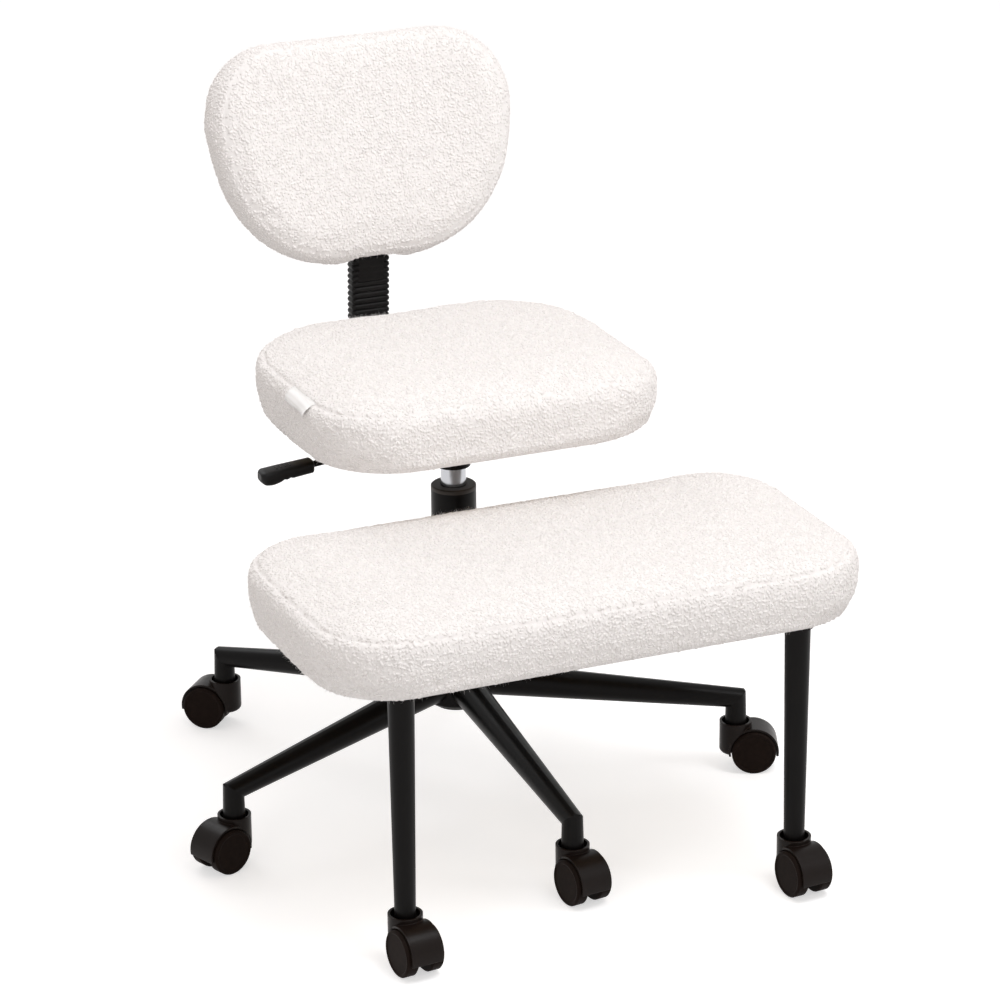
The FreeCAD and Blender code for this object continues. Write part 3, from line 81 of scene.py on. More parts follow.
powder_coat, tree, place = new_material("powder_coated_steel")
COAT_CLOUD = 0.045           # slow drift of the coat's tone and gloss
PEEL = 0.0016                # orange peel of the baked powder
GRIT = 0.0005                # fine grit under it
cloudy = add_node(tree, "ShaderNodeTexNoise", {"Vector": place, "Scale": 1 / COAT_CLOUD, "Detail": 3.0})
tone = add_node(tree, "ShaderNodeMix", {
    "Factor": cloudy.outputs["Fac"], 6: linear("#080707"), 7: linear("#100E0D")}, data_type="RGBA")
peel = add_node(tree, "ShaderNodeTexNoise", {"Vector": place, "Scale": 1 / PEEL, "Detail": 1.0})
grit = add_node(tree, "ShaderNodeTexNoise", {"Vector": place, "Scale": 1 / GRIT, "Detail": 0.0})
gloss = add_node(tree, "ShaderNodeMapRange", {
    "Value": cloudy.outputs["Fac"], "From Min": 0.3, "From Max": 0.7, "To Min": 0.3, "To Max": 0.4})
wavy = add_node(tree, "ShaderNodeBump", {"Height": peel.outputs["Fac"], "Strength": 0.1, "Distance": 0.0002})
gritty = add_node(tree, "ShaderNodeBump", {
    "Height": grit.outputs["Fac"], "Strength": 0.06, "Distance": 0.0001, "Normal": wavy.outputs["Normal"]})
skin = add_node(tree, "ShaderNodeBsdfPrincipled", {
    "Base Color": tone.outputs[2], "Roughness": gloss.outputs["Result"], "IOR": 1.5,
    "Specular IOR Level": 0.1, "Normal": gritty.outputs["Normal"]})
add_node(tree, "ShaderNodeOutputMaterial", {"Surface": skin.outputs[0]})
finish_nodes(powder_coat, "base_hub", "column_tube", "stop_collar", *["base_leg_%d" % k for k in range(1, 6)])

# Gas column: a chromed cylinder that slides in a nylon bush, and its rod, clip and bearing inside the tube.
# Hard chrome on ground steel is mirror-like with faint lines round it, and the bush is dark moulded nylon.
chrome, tree, place = new_material("hard_chrome_on_steel")
GRIND = 0.0008               # grinding lines round the cylinder, drawn coarser than real so that they show
SMEAR = 0.02                 # wiped patches
lines = add_node(tree, "ShaderNodeTexWave", {
    "Vector": place, "Scale": 0.05 / GRIND, "Distortion": 0.4, "Detail": 1.0}, bands_direction="Z")
smear = add_node(tree, "ShaderNodeTexNoise", {"Vector": place, "Scale": 1 / SMEAR, "Detail": 2.0})
gloss = add_node(tree, "ShaderNodeMapRange", {"Value": smear.outputs["Fac"], "To Min": 0.14, "To Max": 0.24})
turned = add_node(tree, "ShaderNodeBump", {
    "Height": lines.outputs["Fac"], "Strength": 0.04, "Distance": 0.0001})
skin = add_node(tree, "ShaderNodeBsdfPrincipled", {
    "Base Color": linear("#B9BBBF"), "Metallic": 1.0, "Roughness": gloss.outputs["Result"],
    "Normal": turned.outputs["Normal"]})
add_node(tree, "ShaderNodeOutputMaterial", {"Surface": skin.outputs[0]})
finish_nodes(chrome, "gas_cylinder", "piston_rod")

# Moulded nylon is dark grey-brown and dull, with a fine pitted grain.
nylon, tree, place = new_material("moulded_nylon")
NYLON_GRAIN = 0.0009
grain = add_node(tree, "ShaderNodeTexNoise", {"Vector": place, "Scale": 1 / NYLON_GRAIN, "Detail": 2.0})
tone = add_node(tree, "ShaderNodeMix", {
    "Factor": grain.outputs["Fac"], 6: linear("#26211E"), 7: linear("#3A332E")}, data_type="RGBA")
pitted = add_node(tree, "ShaderNodeBump", {
    "Height": grain.outputs["Fac"], "Strength": 0.12, "Distance": 0.0002})
skin = add_node(tree, "ShaderNodeBsdfPrincipled", {
    "Base Color": tone.outputs[2], "Roughness": 0.5, "IOR": 1.53, "Specular IOR Level": 0.25,
    "Normal": pitted.outputs["Normal"]})
add_node(tree, "ShaderNodeOutputMaterial", {"Surface": skin.outputs[0]})
finish_nodes(nylon, "column_bush", "collar_bush", "bar_guide", "base_sockets", "stool_sockets")

# Zinc plate on bolts and pins is silver-grey metal, brighter and duller in small patches.
zinc, tree, place = new_material("zinc_plated_steel")
SPANGLE = 0.0025
spangle = add_node(tree, "ShaderNodeTexVoronoi", {"Vector": place, "Scale": 1 / SPANGLE})
tone = add_node(tree, "ShaderNodeMix", {"Factor": spangle.outputs["Distance"], 6: linear("#8E9196"),
                                        7: linear("#B9BCC0")}, data_type="RGBA")
gloss = add_node(tree, "ShaderNodeMapRange", {
    "Value": spangle.outputs["Distance"], "To Min": 0.28, "To Max": 0.45})
skin = add_node(tree, "ShaderNodeBsdfPrincipled", {
    "Base Color": tone.outputs[2], "Metallic": 1.0, "Roughness": gloss.outputs["Result"]})
add_node(tree, "ShaderNodeOutputMaterial", {"Surface": skin.outputs[0]})
finish_nodes(zinc, "thrust_bearing", "column_clip", "valve_pin", "arm_bolts", "leg_bolts", "seat_bolts",
             "back_screws", *["caster_%d_pins" % k for k in range(1, 8)])

# Seven twin-wheel casters: each a hood whose neck swallows its leg's end, and two wheels on a steel axle.
# Moulded nylon, black with a brown cast: satin hoods with soft edges that carry a painted highlight in a
# lighter brown, and matt, dusty wheels.
caster_nylon, tree, place = new_material("satin_black_nylon")
MOULD_GRAIN = 0.0007         # grain of the mould, on hoods and wheels
MOULD_EDGE = 0.0011          # radius of their edges
# size of the noise patches that break up the painted edge highlight and vary the hoods' gloss
SHEEN_PATCH_SIZE = 0.012
grain = add_node(tree, "ShaderNodeTexNoise", {"Vector": place, "Scale": 1 / MOULD_GRAIN, "Detail": 1.0})
sheen_patch = add_node(tree, "ShaderNodeTexNoise", {
    "Vector": place, "Scale": 1 / SHEEN_PATCH_SIZE, "Detail": 4.0, "Roughness": 0.65})
soft = add_node(tree, "ShaderNodeBevel", {"Radius": MOULD_EDGE}, samples=4)
facing = add_node(tree, "ShaderNodeNewGeometry")
square = add_node(tree, "ShaderNodeVectorMath", {0: soft.outputs["Normal"], 1: facing.outputs["Normal"]},
                  operation="DOT_PRODUCT")
# painted highlight: where the bevelled normal turns away from the face's own, the hoods' tone is mixed towards
# a lighter brown, broken up in patches
edge = add_node(tree, "ShaderNodeMapRange", {
    "Value": square.outputs["Value"], "From Min": 0.995, "From Max": 0.8})
painted_edge_highlight = add_node(tree, "ShaderNodeMath", {
    0: edge.outputs["Result"], 1: sheen_patch.outputs["Fac"]}, operation="MULTIPLY")
tone = add_node(tree, "ShaderNodeMix", {
    "Factor": painted_edge_highlight.outputs[0], 6: linear("#150E0B"), 7: linear("#3A2F28")}, data_type="RGBA")
gloss = add_node(tree, "ShaderNodeMapRange", {"Value": sheen_patch.outputs["Fac"], "From Min": 0.3, "From Max": 0.7,
                                              "To Min": 0.28, "To Max": 0.38})
moulded = add_node(tree, "ShaderNodeBump", {
    "Height": grain.outputs["Fac"], "Strength": 0.08, "Distance": 0.0002, "Normal": soft.outputs["Normal"]})
skin = add_node(tree, "ShaderNodeBsdfPrincipled", {
    "Base Color": tone.outputs[2], "Roughness": gloss.outputs["Result"], "IOR": 1.53,
    "Specular IOR Level": 0.12, "Normal": moulded.outputs["Normal"]})
add_node(tree, "ShaderNodeOutputMaterial", {"Surface": skin.outputs[0]})
finish_nodes(caster_nylon, *["caster_%d_hood" % k for k in range(1, 8)])

wheel_nylon, tree, place = new_material("matt_black_nylon")
DUST = 0.006
dust = add_node(tree, "ShaderNodeTexNoise", {
    "Vector": place, "Scale": 1 / DUST, "Detail": 4.0, "Roughness": 0.6})
grain = add_node(tree, "ShaderNodeTexNoise", {"Vector": place, "Scale": 1 / MOULD_GRAIN, "Detail": 1.0})
soft = add_node(tree, "ShaderNodeBevel", {"Radius": MOULD_EDGE}, samples=4)
tone = add_node(tree, "ShaderNodeMix", {
    "Factor": dust.outputs["Fac"], 6: linear("#130D0B"), 7: linear("#241C18")}, data_type="RGBA")
spark = add_node(tree, "ShaderNodeBump", {"Height": grain.outputs["Fac"], "Strength": 0.1, "Distance": 0.0002,
                                          "Normal": soft.outputs["Normal"]})
skin = add_node(tree, "ShaderNodeBsdfPrincipled", {
    "Base Color": tone.outputs[2], "Roughness": 0.5, "IOR": 1.53, "Specular IOR Level": 0.025,
    "Normal": spark.outputs["Normal"]})
add_node(tree, "ShaderNodeOutputMaterial", {"Surface": skin.outputs[0]})
finish_nodes(wheel_nylon, *["caster_%d_wheels" % k for k in range(1, 8)])

# Leg platform: a board under a fleece cushion, on an arm that circles the column and two legs in front.
# Powder-coated steel below, poplar plywood whose pale, streaked grain shows from beneath, fleece above.
finish_nodes(powder_coat, "stool_arm", "swivel_collar", "stool_leg_left", "stool_leg_right", "leg_flanges")

plywood, tree, place = new_material("poplar_plywood")
WOOD_FIBRE = 0.002
GROWTH = 0.018               # bands of growth in the peeled veneer
long_grain = add_node(tree, "ShaderNodeMapping", {"Vector": place, "Scale": (0.06, 1.0, 1.0)})
fibre = add_node(tree, "ShaderNodeTexNoise", {
    "Vector": long_grain.outputs[0], "Scale": 1 / WOOD_FIBRE, "Detail": 4.0})
growth = add_node(tree, "ShaderNodeTexWave", {"Vector": long_grain.outputs[0], "Scale": 0.05 / GROWTH,
                                              "Distortion": 6.0, "Detail": 2.0}, bands_direction="Y")
streak = add_node(tree, "ShaderNodeMath", {
    0: fibre.outputs["Fac"], 1: growth.outputs["Fac"]}, operation="MULTIPLY")
tone = add_node(tree, "ShaderNodeMix", {
    "Factor": streak.outputs[0], 6: linear("#D8BE96"), 7: linear("#A98557")}, data_type="RGBA")
open_grain = add_node(tree, "ShaderNodeBump", {
    "Height": fibre.outputs["Fac"], "Strength": 0.2, "Distance": 0.0003})
skin = add_node(tree, "ShaderNodeBsdfPrincipled", {
    "Base Color": tone.outputs[2], "Roughness": 0.7, "Normal": open_grain.outputs["Normal"]})
add_node(tree, "ShaderNodeOutputMaterial", {"Surface": skin.outputs[0]})
finish_nodes(plywood, "stool_board", "seat_board", "back_board")

# Platform's cushion: knitted teddy fleece with short rounded tufts over foam, sewn round its top edge.
# Polyester pile is matt, warm white and soft-edged, with paler patches and a fuzz of loose fibres.
fleece, tree, place = new_material("polyester_teddy_fleece")
FUZZ = 0.0006                # single fibres in a tuft
TUFT_PATCH = 0.005           # neighbouring tufts take the dye differently
patch = add_node(tree, "ShaderNodeTexNoise", {"Vector": place, "Scale": 1 / TUFT_PATCH, "Detail": 1.0})
shade = add_node(tree, "ShaderNodeMapRange", {
    "Value": patch.outputs["Fac"], "From Min": 0.3, "From Max": 0.7})
tone = add_node(tree, "ShaderNodeMix", {"Factor": shade.outputs["Result"], 6: linear("#EEEBE9"),
                                        7: linear("#F5F2F0")}, data_type="RGBA")
strands = add_node(tree, "ShaderNodeTexNoise", {"Vector": place, "Scale": 1 / FUZZ, "Detail": 1.0})
fuzzy = add_node(tree, "ShaderNodeBump", {
    "Height": strands.outputs["Fac"], "Strength": 0.35, "Distance": 0.0004})
skin = add_node(tree, "ShaderNodeBsdfPrincipled", {
    "Base Color": tone.outputs[2], "Roughness": 0.95, "Specular IOR Level": 0.1, "Sheen Weight": 0.25,
    "Sheen Roughness": 0.5, "Normal": fuzzy.outputs["Normal"]})
add_node(tree, "ShaderNodeOutputMaterial", {"Surface": skin.outputs[0]})


def new_pattern(name, inputs):
    """A Geometry Nodes tree, its input sockets, and the identifier and usual value of each input by name."""
    pattern = bpy.data.node_groups.new(name, "GeometryNodeTree")
    known = {}
    for input_name, kind, usual in inputs:
        item = pattern.interface.new_socket(name=input_name, in_out="INPUT", socket_type="NodeSocket" + kind)
        if usual is not None:
            item.default_value = usual
            known[input_name] = (item.identifier, usual)
    pattern.interface.new_socket(name="Result", in_out="OUTPUT", socket_type="NodeSocketGeometry")
    return pattern, add_node(pattern, "NodeGroupInput").outputs, known


LUMP = 0.009                 # width of the fleece's soft lumps
TUFT_SINK = 0.0001           # how deep a tuft's middle lies in the skin
TUFT_LEAN = math.radians(14)
FIBRE_LEAN = math.radians(60)
SIDE_LEAN = 0.2              # radians, the other way
LEAST_SIZE, MOST_SIZE = 0.65, 1.35
MOST_TUFTS = 240000.0        # to a square metre, before they are thinned to their spacing
pile_tree, given, pile_inputs = new_pattern("fleece_pile", (
    ("Pad", "Geometry", None), ("Tuft spacing", "Float", 0.0029),
    ("Tuft size", "Vector", (0.0027, 0.0014, 0.00095)), ("Fibre spacing", "Float", 0.0034),
    ("Fibre length", "Float", 0.0046), ("Fibre radius", "Float", 0.00012),
    ("Lump height", "Float", 0.0016), ("Seed", "Int", 7)))
pile = add_node(pile_tree, "GeometryNodeInputNamedAttribute", {"Name": "pile"}, data_type="FLOAT").outputs[0]
lumps = add_node(pile_tree, "ShaderNodeTexNoise", {"Scale": 1 / LUMP, "Detail": 1.0})
level = add_node(pile_tree, "ShaderNodeMath", {0: lumps.outputs["Fac"], 1: 0.5}, operation="SUBTRACT")
raised = add_node(pile_tree, "ShaderNodeMath", {
    0: level.outputs[0], 1: given["Lump height"]}, operation="MULTIPLY")
covered = add_node(pile_tree, "ShaderNodeMath", {0: raised.outputs[0], 1: pile}, operation="MULTIPLY")
outwards = add_node(pile_tree, "GeometryNodeInputNormal")
lift = add_node(pile_tree, "ShaderNodeVectorMath", {0: outwards.outputs[0], "Scale": covered.outputs[0]},
                operation="SCALE")
lumpy = add_node(pile_tree, "GeometryNodeSetPosition", {"Geometry": given["Pad"], "Offset": lift.outputs[0]})
ball = add_node(pile_tree, "GeometryNodeMeshIcoSphere", {"Radius": 1.0, "Subdivisions": 1})
tuft = add_node(pile_tree, "GeometryNodeTransform", {"Geometry": ball.outputs[0], "Scale": given["Tuft size"],
                                                     "Translation": (0, 0, -TUFT_SINK)})
fibre = add_node(pile_tree, "GeometryNodeMeshCone", {"Vertices": 3, "Radius Top": 0.0,
                                                     "Radius Bottom": given["Fibre radius"],
                                                     "Depth": given["Fibre length"]}, fill_type="NONE")
layers = []
for spacing, shape, most_lean, offset in (
        (given["Tuft spacing"], tuft.outputs[0], TUFT_LEAN, 0.0),
        (given["Fibre spacing"], fibre.outputs[0], FIBRE_LEAN, 40.0)):
    seed = add_node(pile_tree, "ShaderNodeMath", {0: given["Seed"], 1: offset}, operation="ADD")
    tufts = add_node(pile_tree, "GeometryNodeDistributePointsOnFaces", {
        "Mesh": lumpy.outputs[0], "Distance Min": spacing, "Density Max": MOST_TUFTS, "Density Factor": pile,
        "Seed": seed.outputs[0]}, distribute_method="POISSON")
    lean = add_node(pile_tree, "FunctionNodeRandomValue", {
        0: (-most_lean, -SIDE_LEAN, 0.0), 1: (most_lean, SIDE_LEAN, 2 * math.pi), "Seed": seed.outputs[0]},
        data_type="FLOAT_VECTOR")
    turn = add_node(pile_tree, "FunctionNodeEulerToRotation", {0: lean.outputs[0]})
    stand = add_node(pile_tree, "FunctionNodeRotateRotation", {
        0: tufts.outputs["Rotation"], 1: turn.outputs[0]}, rotation_space="LOCAL")
    size = add_node(pile_tree, "FunctionNodeRandomValue", {
        2: LEAST_SIZE, 3: MOST_SIZE, "Seed": seed.outputs[0]}, data_type="FLOAT")
    layer = add_node(pile_tree, "GeometryNodeInstanceOnPoints", {
        "Points": tufts.outputs["Points"], "Instance": shape, "Rotation": stand.outputs[0],
        "Scale": size.outputs[1]})
    layers.append(layer.outputs[0])
joined = add_node(pile_tree, "GeometryNodeJoinGeometry")
for source in [lumpy.outputs[0]] + layers:
    pile_tree.links.new(source, joined.inputs[0])
real = add_node(pile_tree, "GeometryNodeRealizeInstances", {0: joined.outputs[0]})
smooth = add_node(pile_tree, "GeometryNodeSetShadeSmooth", {0: real.outputs[0]})
dressed = add_node(pile_tree, "GeometryNodeSetMaterial", {0: smooth.outputs[0], "Material": fleece})
add_node(pile_tree, "NodeGroupOutput", {0: dressed.outputs[0]})


def new_object(name, data):
    """A new object in the scene, at the origin."""
    thing = bpy.data.objects.new(name, data)
    bpy.context.scene.collection.objects.link(thing)
    return thing


def settle(piece):
    """Makes what a piece's modifiers give its own plain mesh."""
    graph = bpy.context.evaluated_depsgraph_get()
    mesh = bpy.data.meshes.new_from_object(piece.evaluated_get(graph))
    piece.modifiers.clear()
    piece.data = mesh


def points_of(mesh, what):
    """Places or normals of a mesh's vertices, one row each."""
    values = np.empty(len(mesh.vertices) * 3)
    mesh.vertices.foreach_get(what, values)
    return values.reshape(-1, 3)


def along_skin(ways, normals):
    """Ways to a seam laid along the skin, and far off where the skin lies well above or below the seam."""
    near, far = 0.011, 1.0
    rise = np.sum(ways * normals, axis=1)
    return np.where(np.abs(rise)[:, None] < near, ways - normals * rise[:, None], far)


def stuffed(node, name, inside, to_seam, seam_depth, softness, room, seed):
    """A fleece cushion in a node's place: softened, swelled against its board, sewn and tufted."""
    mesh_step = 0.006        # edge of the even mesh
    pressure = 4.0
    moments = 20             # frames of swelling
    swell = 0.0025           # the most that a point may move
    crease = 0.0024          # half width of the sewn seam
    flattened = 0.95         # share of the pile that is lost in the seam
    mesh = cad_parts[node].data.copy()
    mesh.materials.clear()
    shell = bmesh.new()
    shell.from_mesh(mesh)
    bmesh.ops.remove_doubles(shell, verts=shell.verts, dist=1e-5)
    shell.to_mesh(mesh)
    shell.free()
    pad = new_object(name, mesh)
    remesh = pad.modifiers.new("even_mesh", "REMESH")
    remesh.mode = "VOXEL"
    remesh.voxel_size = mesh_step
    settle(pad)
    hidden = inside(points_of(pad.data, "co"), points_of(pad.data, "normal"))
    fixed = [int(i) for i in np.flatnonzero(hidden > 0.5)]
    pad.vertex_groups.new(name="held").add(fixed, 1.0, "REPLACE")
    soft_edges = pad.modifiers.new("soft_edges", "SMOOTH")
    soft_edges.iterations = softness
    soft_edges.vertex_group = "held"
    soft_edges.invert_vertex_group = True
    settle(pad)
    pad.vertex_groups.clear()
    pad.vertex_groups.new(name="held").add(fixed, 1.0, "REPLACE")
    start = points_of(pad.data, "co") - points_of(pad.data, "normal") * room * (1 - hidden[:, None])
    pad.data.vertices.foreach_set("co", start.ravel())
    pad.data.update()
    cloth = pad.modifiers.new("swell", "CLOTH")
    cloth.settings.vertex_group_mass = "held"
    cloth.settings.use_pressure = True
    cloth.settings.uniform_pressure_force = pressure
    cloth.settings.effector_weights.gravity = 0.0
    cloth.point_cache.frame_start = 1
    cloth.point_cache.frame_end = moments
    for moment in range(1, moments + 1):
        bpy.context.scene.frame_set(moment)
    settle(pad)
    moved = points_of(pad.data, "co") - start
    far = np.linalg.norm(moved, axis=1)
    moved *= np.minimum(1.0, swell / np.maximum(far, 1e-9))[:, None]
    pad.data.vertices.foreach_set("co", (start + moved).ravel())
    pad.data.update()
    bpy.context.scene.frame_set(1)
    pad.vertex_groups.clear()
    finer = pad.modifiers.new("finer", "SUBSURF")
    finer.levels = 1
    finer.render_levels = 1
    settle(pad)
    places = points_of(pad.data, "co")
    normals = points_of(pad.data, "normal")
    away = np.linalg.norm(along_skin(to_seam(places, normals), normals), axis=1)
    sewn = np.exp(-(away / crease) ** 2)
    pad.data.vertices.foreach_set("co", (places - normals * seam_depth * sewn[:, None]).ravel())
    cover = pad.data.attributes.new("pile", "FLOAT", "POINT")
    cover.data.foreach_set("value", (1 - inside(places, normals)) * (1 - flattened * sewn))
    pad.data.update()
    tufting = pad.modifiers.new("fleece", "NODES")
    tufting.node_group = pile_tree
    for identifier, usual in pile_inputs.values():
        tufting[identifier] = usual
    tufting[pile_inputs["Seed"][0]] = seed
    settle(pad)
    return pad


def inset_from(places, half_width, half_depth, front_radius, rear_radius, centre_y):
    """How far points lie inside a cushion's widest outline, seen from above."""
    x = np.abs(places[:, 0])
    y = places[:, 1] - centre_y
    radius = np.where(y < 0, front_radius, rear_radius)
    over_x = x - (half_width - radius)
    over_y = np.abs(y) - (half_depth - radius)
    corner = np.hypot(np.maximum(over_x, 0), np.maximum(over_y, 0))
    return radius - corner - np.minimum(np.maximum(over_x, over_y), 0)


def underside(centre_y):
    """Share of a flat cushion's skin that is hidden: its underside and the recess for its board."""
    down = -0.75             # normals that face down
    inwards = -0.02          # walls that face the middle, unless they face up
    upwards = 0.3

    def hidden(places, normals):
        outwards = normals[:, 0] * places[:, 0] + normals[:, 1] * (places[:, 1] - centre_y)
        return ((normals[:, 2] < down) | ((outwards < inwards) & (normals[:, 2] < upwards))).astype(float)
    return hidden


def level_away(inset, height, places, normals):
    """Way from points to a level seam, given how much further in they are than the seam."""
    flat = normals * (1, 1, 0) + (1e-5, 0, 0)      # on a quite level skin every way along it serves
    flat /= np.maximum(np.linalg.norm(flat, axis=1), 1e-6)[:, None]
    return flat * inset[:, None] + np.outer(height - places[:, 2], (0, 0, 1))


PLATFORM_HALF_WIDTH = 0.308
PLATFORM_HALF_DEPTH = 0.165
PLATFORM_CORNER = 0.088
PLATFORM_MIDDLE = -0.272     # its centre, ahead of the column
PLATFORM_SEAM_INSET = 0.0055
PLATFORM_SEAM_HEIGHT = 0.3707
SIDES_START, SIDES_RUN = 0.2, 0.09                 # where the front turns into the sides
SIDES_INSET = 0.005          # what the seam gains there
SIDES_CLIMB = 0.0042


def platform_seam(places, normals):
    """Way to the platform's seam, which climbs a little from the front to the sides."""
    inset = inset_from(places, PLATFORM_HALF_WIDTH, PLATFORM_HALF_DEPTH, PLATFORM_CORNER, PLATFORM_CORNER,
                       PLATFORM_MIDDLE)
    side = np.clip((np.abs(places[:, 0]) - SIDES_START) / SIDES_RUN, 0, 1)
    seam_inset = PLATFORM_SEAM_INSET + SIDES_INSET * side
    return level_away(inset - seam_inset, PLATFORM_SEAM_HEIGHT + SIDES_CLIMB * side, places, normals)


platform = stuffed("stool_cushion", "platform_fleece", underside(PLATFORM_MIDDLE), platform_seam,
                   seam_depth=0.0026, softness=12, room=0.001, seed=11)
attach(platform, "stool")
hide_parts("stool_cushion")

# Seat: a plate with the column's socket under a plywood board, and a thick rounded cushion over both.
# The same fleece over firmer foam, with its seam round the soft top edge.
finish_nodes(powder_coat, "seat_plate")

SEAT_HALF_WIDTH = 0.202
SEAT_HALF_DEPTH = 0.176
SEAT_FRONT_CORNER = 0.086
SEAT_REAR_CORNER = 0.130
SEAT_MIDDLE = 0.008          # its centre, behind the column
SEAT_SEAM_INSET = 0.0107
SEAT_SEAM_HEIGHT = 0.5064


def seat_seam(places, normals):
    """Way to the seat's seam."""
    inset = inset_from(places, SEAT_HALF_WIDTH, SEAT_HALF_DEPTH, SEAT_FRONT_CORNER, SEAT_REAR_CORNER,
                       SEAT_MIDDLE)
    return level_away(inset - SEAT_SEAM_INSET, SEAT_SEAM_HEIGHT, places, normals)


seat = stuffed("seat_cushion", "seat_fleece", underside(SEAT_MIDDLE), seat_seam,
               seam_depth=0.0026, softness=10, room=0.001, seed=23)
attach(seat, "seat")
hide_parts("seat_cushion")

# Sewn-in label: a short ribbon caught in the seat's seam on the sitter's right, folded down over the side.
# White satin ribbon, left blank, with a fine lengthwise rib and a slight gloss.
ribbon, tree, place = new_material("woven_satin_ribbon")
RIB = 0.0007                 # satin rib, drawn coarser than real so that it shows
ribs = add_node(tree, "ShaderNodeTexWave", {"Vector": place, "Scale": 0.05 / RIB, "Distortion": 0.3},
                bands_direction="Z")
tone = add_node(tree, "ShaderNodeMix", {
    "Factor": ribs.outputs["Fac"], 6: linear("#F0EFED"), 7: linear("#FCFCFB")}, data_type="RGBA")
woven = add_node(tree, "ShaderNodeBump", {
    "Height": ribs.outputs["Fac"], "Strength": 0.15, "Distance": 0.0002})
skin = add_node(tree, "ShaderNodeBsdfPrincipled", {
    "Base Color": tone.outputs[2], "Roughness": 0.5, "Sheen Weight": 0.2, "Normal": woven.outputs["Normal"]})
add_node(tree, "ShaderNodeOutputMaterial", {"Surface": skin.outputs[0]})

LABEL_LENGTH = 0.063
LABEL_REAR = -0.018          # rear end
LABEL_TOP = 0.5022           # where it leaves the seam
LABEL_DROP = 0.0125
LABEL_TUCK = 0.0140          # how far inside the seat's widest outline it starts
LABEL_BEND = 0.0120          # how far it comes out as it falls
LABEL_CLOSE = 0.6            # share of its length that lies close to the seat
LABEL_CURL = 0.0045          # how far its front corner stands off
LABEL_WAVE = 0.0006          # slight waves in its height
LABEL_WAVES = 90             # radians of wave to a metre of length
RIBBON_THICKNESS = 0.0005
columns, rows = 25, 7
label_mesh = bpy.data.meshes.new("seat_label")
label_shape = bmesh.new()
grid = []
for i in range(columns):
    run = LABEL_LENGTH * i / (columns - 1)
    free = max(0.0, run / LABEL_LENGTH - LABEL_CLOSE) / (1 - LABEL_CLOSE)
    line = []
    for j in range(rows):
        fall = j / (rows - 1)
        out = -LABEL_TUCK + LABEL_BEND * math.sin(fall ** 0.8 * math.pi / 2) + LABEL_CURL * free ** 2 * fall
        line.append(label_shape.verts.new((
            -SEAT_HALF_WIDTH - out, LABEL_REAR - run,
            LABEL_TOP - LABEL_DROP * fall ** 1.15 - LABEL_WAVE * math.sin(run * LABEL_WAVES))))
    grid.append(line)
for i in range(columns - 1):
    for j in range(rows - 1):
        label_shape.faces.new((grid[i][j], grid[i][j + 1], grid[i + 1][j + 1], grid[i + 1][j])).smooth = True
bmesh.ops.recalc_face_normals(label_shape, faces=label_shape.faces)
label_shape.to_mesh(label_mesh)
label_shape.free()
label_mesh.materials.append(ribbon)
label = new_object("seat_label", label_mesh)
thick = label.modifiers.new("ribbon", "SOLIDIFY")
thick.thickness = RIBBON_THICKNESS
thick.offset = 0.0
settle(label)
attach(label, "seat")

# Height lever: a steel rod that pivots in the seat plate, with a moulded paddle pushed on its outer end.
# The paddle is black polypropylene with a soft gloss, flat above with short thumb ridges and scalloped below.
finish_nodes(powder_coat, "lever_rod")

paddle_plastic, tree, place = new_material("moulded_polypropylene")
PADDLE_GRAIN = 0.0006
PADDLE_SHEEN = 0.01          # patches of more and less gloss
grain = add_node(tree, "ShaderNodeTexNoise", {"Vector": place, "Scale": 1 / PADDLE_GRAIN, "Detail": 2.0})
sheen = add_node(tree, "ShaderNodeTexNoise", {"Vector": place, "Scale": 1 / PADDLE_SHEEN, "Detail": 2.0})
tone = add_node(tree, "ShaderNodeMix", {
    "Factor": sheen.outputs["Fac"], 6: linear("#0C0B0B"), 7: linear("#171616")}, data_type="RGBA")
gloss = add_node(tree, "ShaderNodeMapRange", {"Value": sheen.outputs["Fac"], "To Min": 0.3, "To Max": 0.5})
spark = add_node(tree, "ShaderNodeBump", {
    "Height": grain.outputs["Fac"], "Strength": 0.15, "Distance": 0.0002})
skin = add_node(tree, "ShaderNodeBsdfPrincipled", {
    "Base Color": tone.outputs[2], "Roughness": gloss.outputs["Result"], "IOR": 1.49,
    "Specular IOR Level": 0.14, "Normal": spark.outputs["Normal"]})
add_node(tree, "ShaderNodeOutputMaterial", {"Surface": skin.outputs[0]})

LEVER_TIP = Vector((0.007, 0.001, 0.4205))         # the rod's ends, at the valve and in the paddle
LEVER_END = Vector((-0.206, -0.0224, 0.4099))


def on_lever(x):
    """Point of the rod's centre line at one distance from the column."""
    return LEVER_TIP + (LEVER_END - LEVER_TIP) * (x - LEVER_TIP.x) / (LEVER_END.x - LEVER_TIP.x)


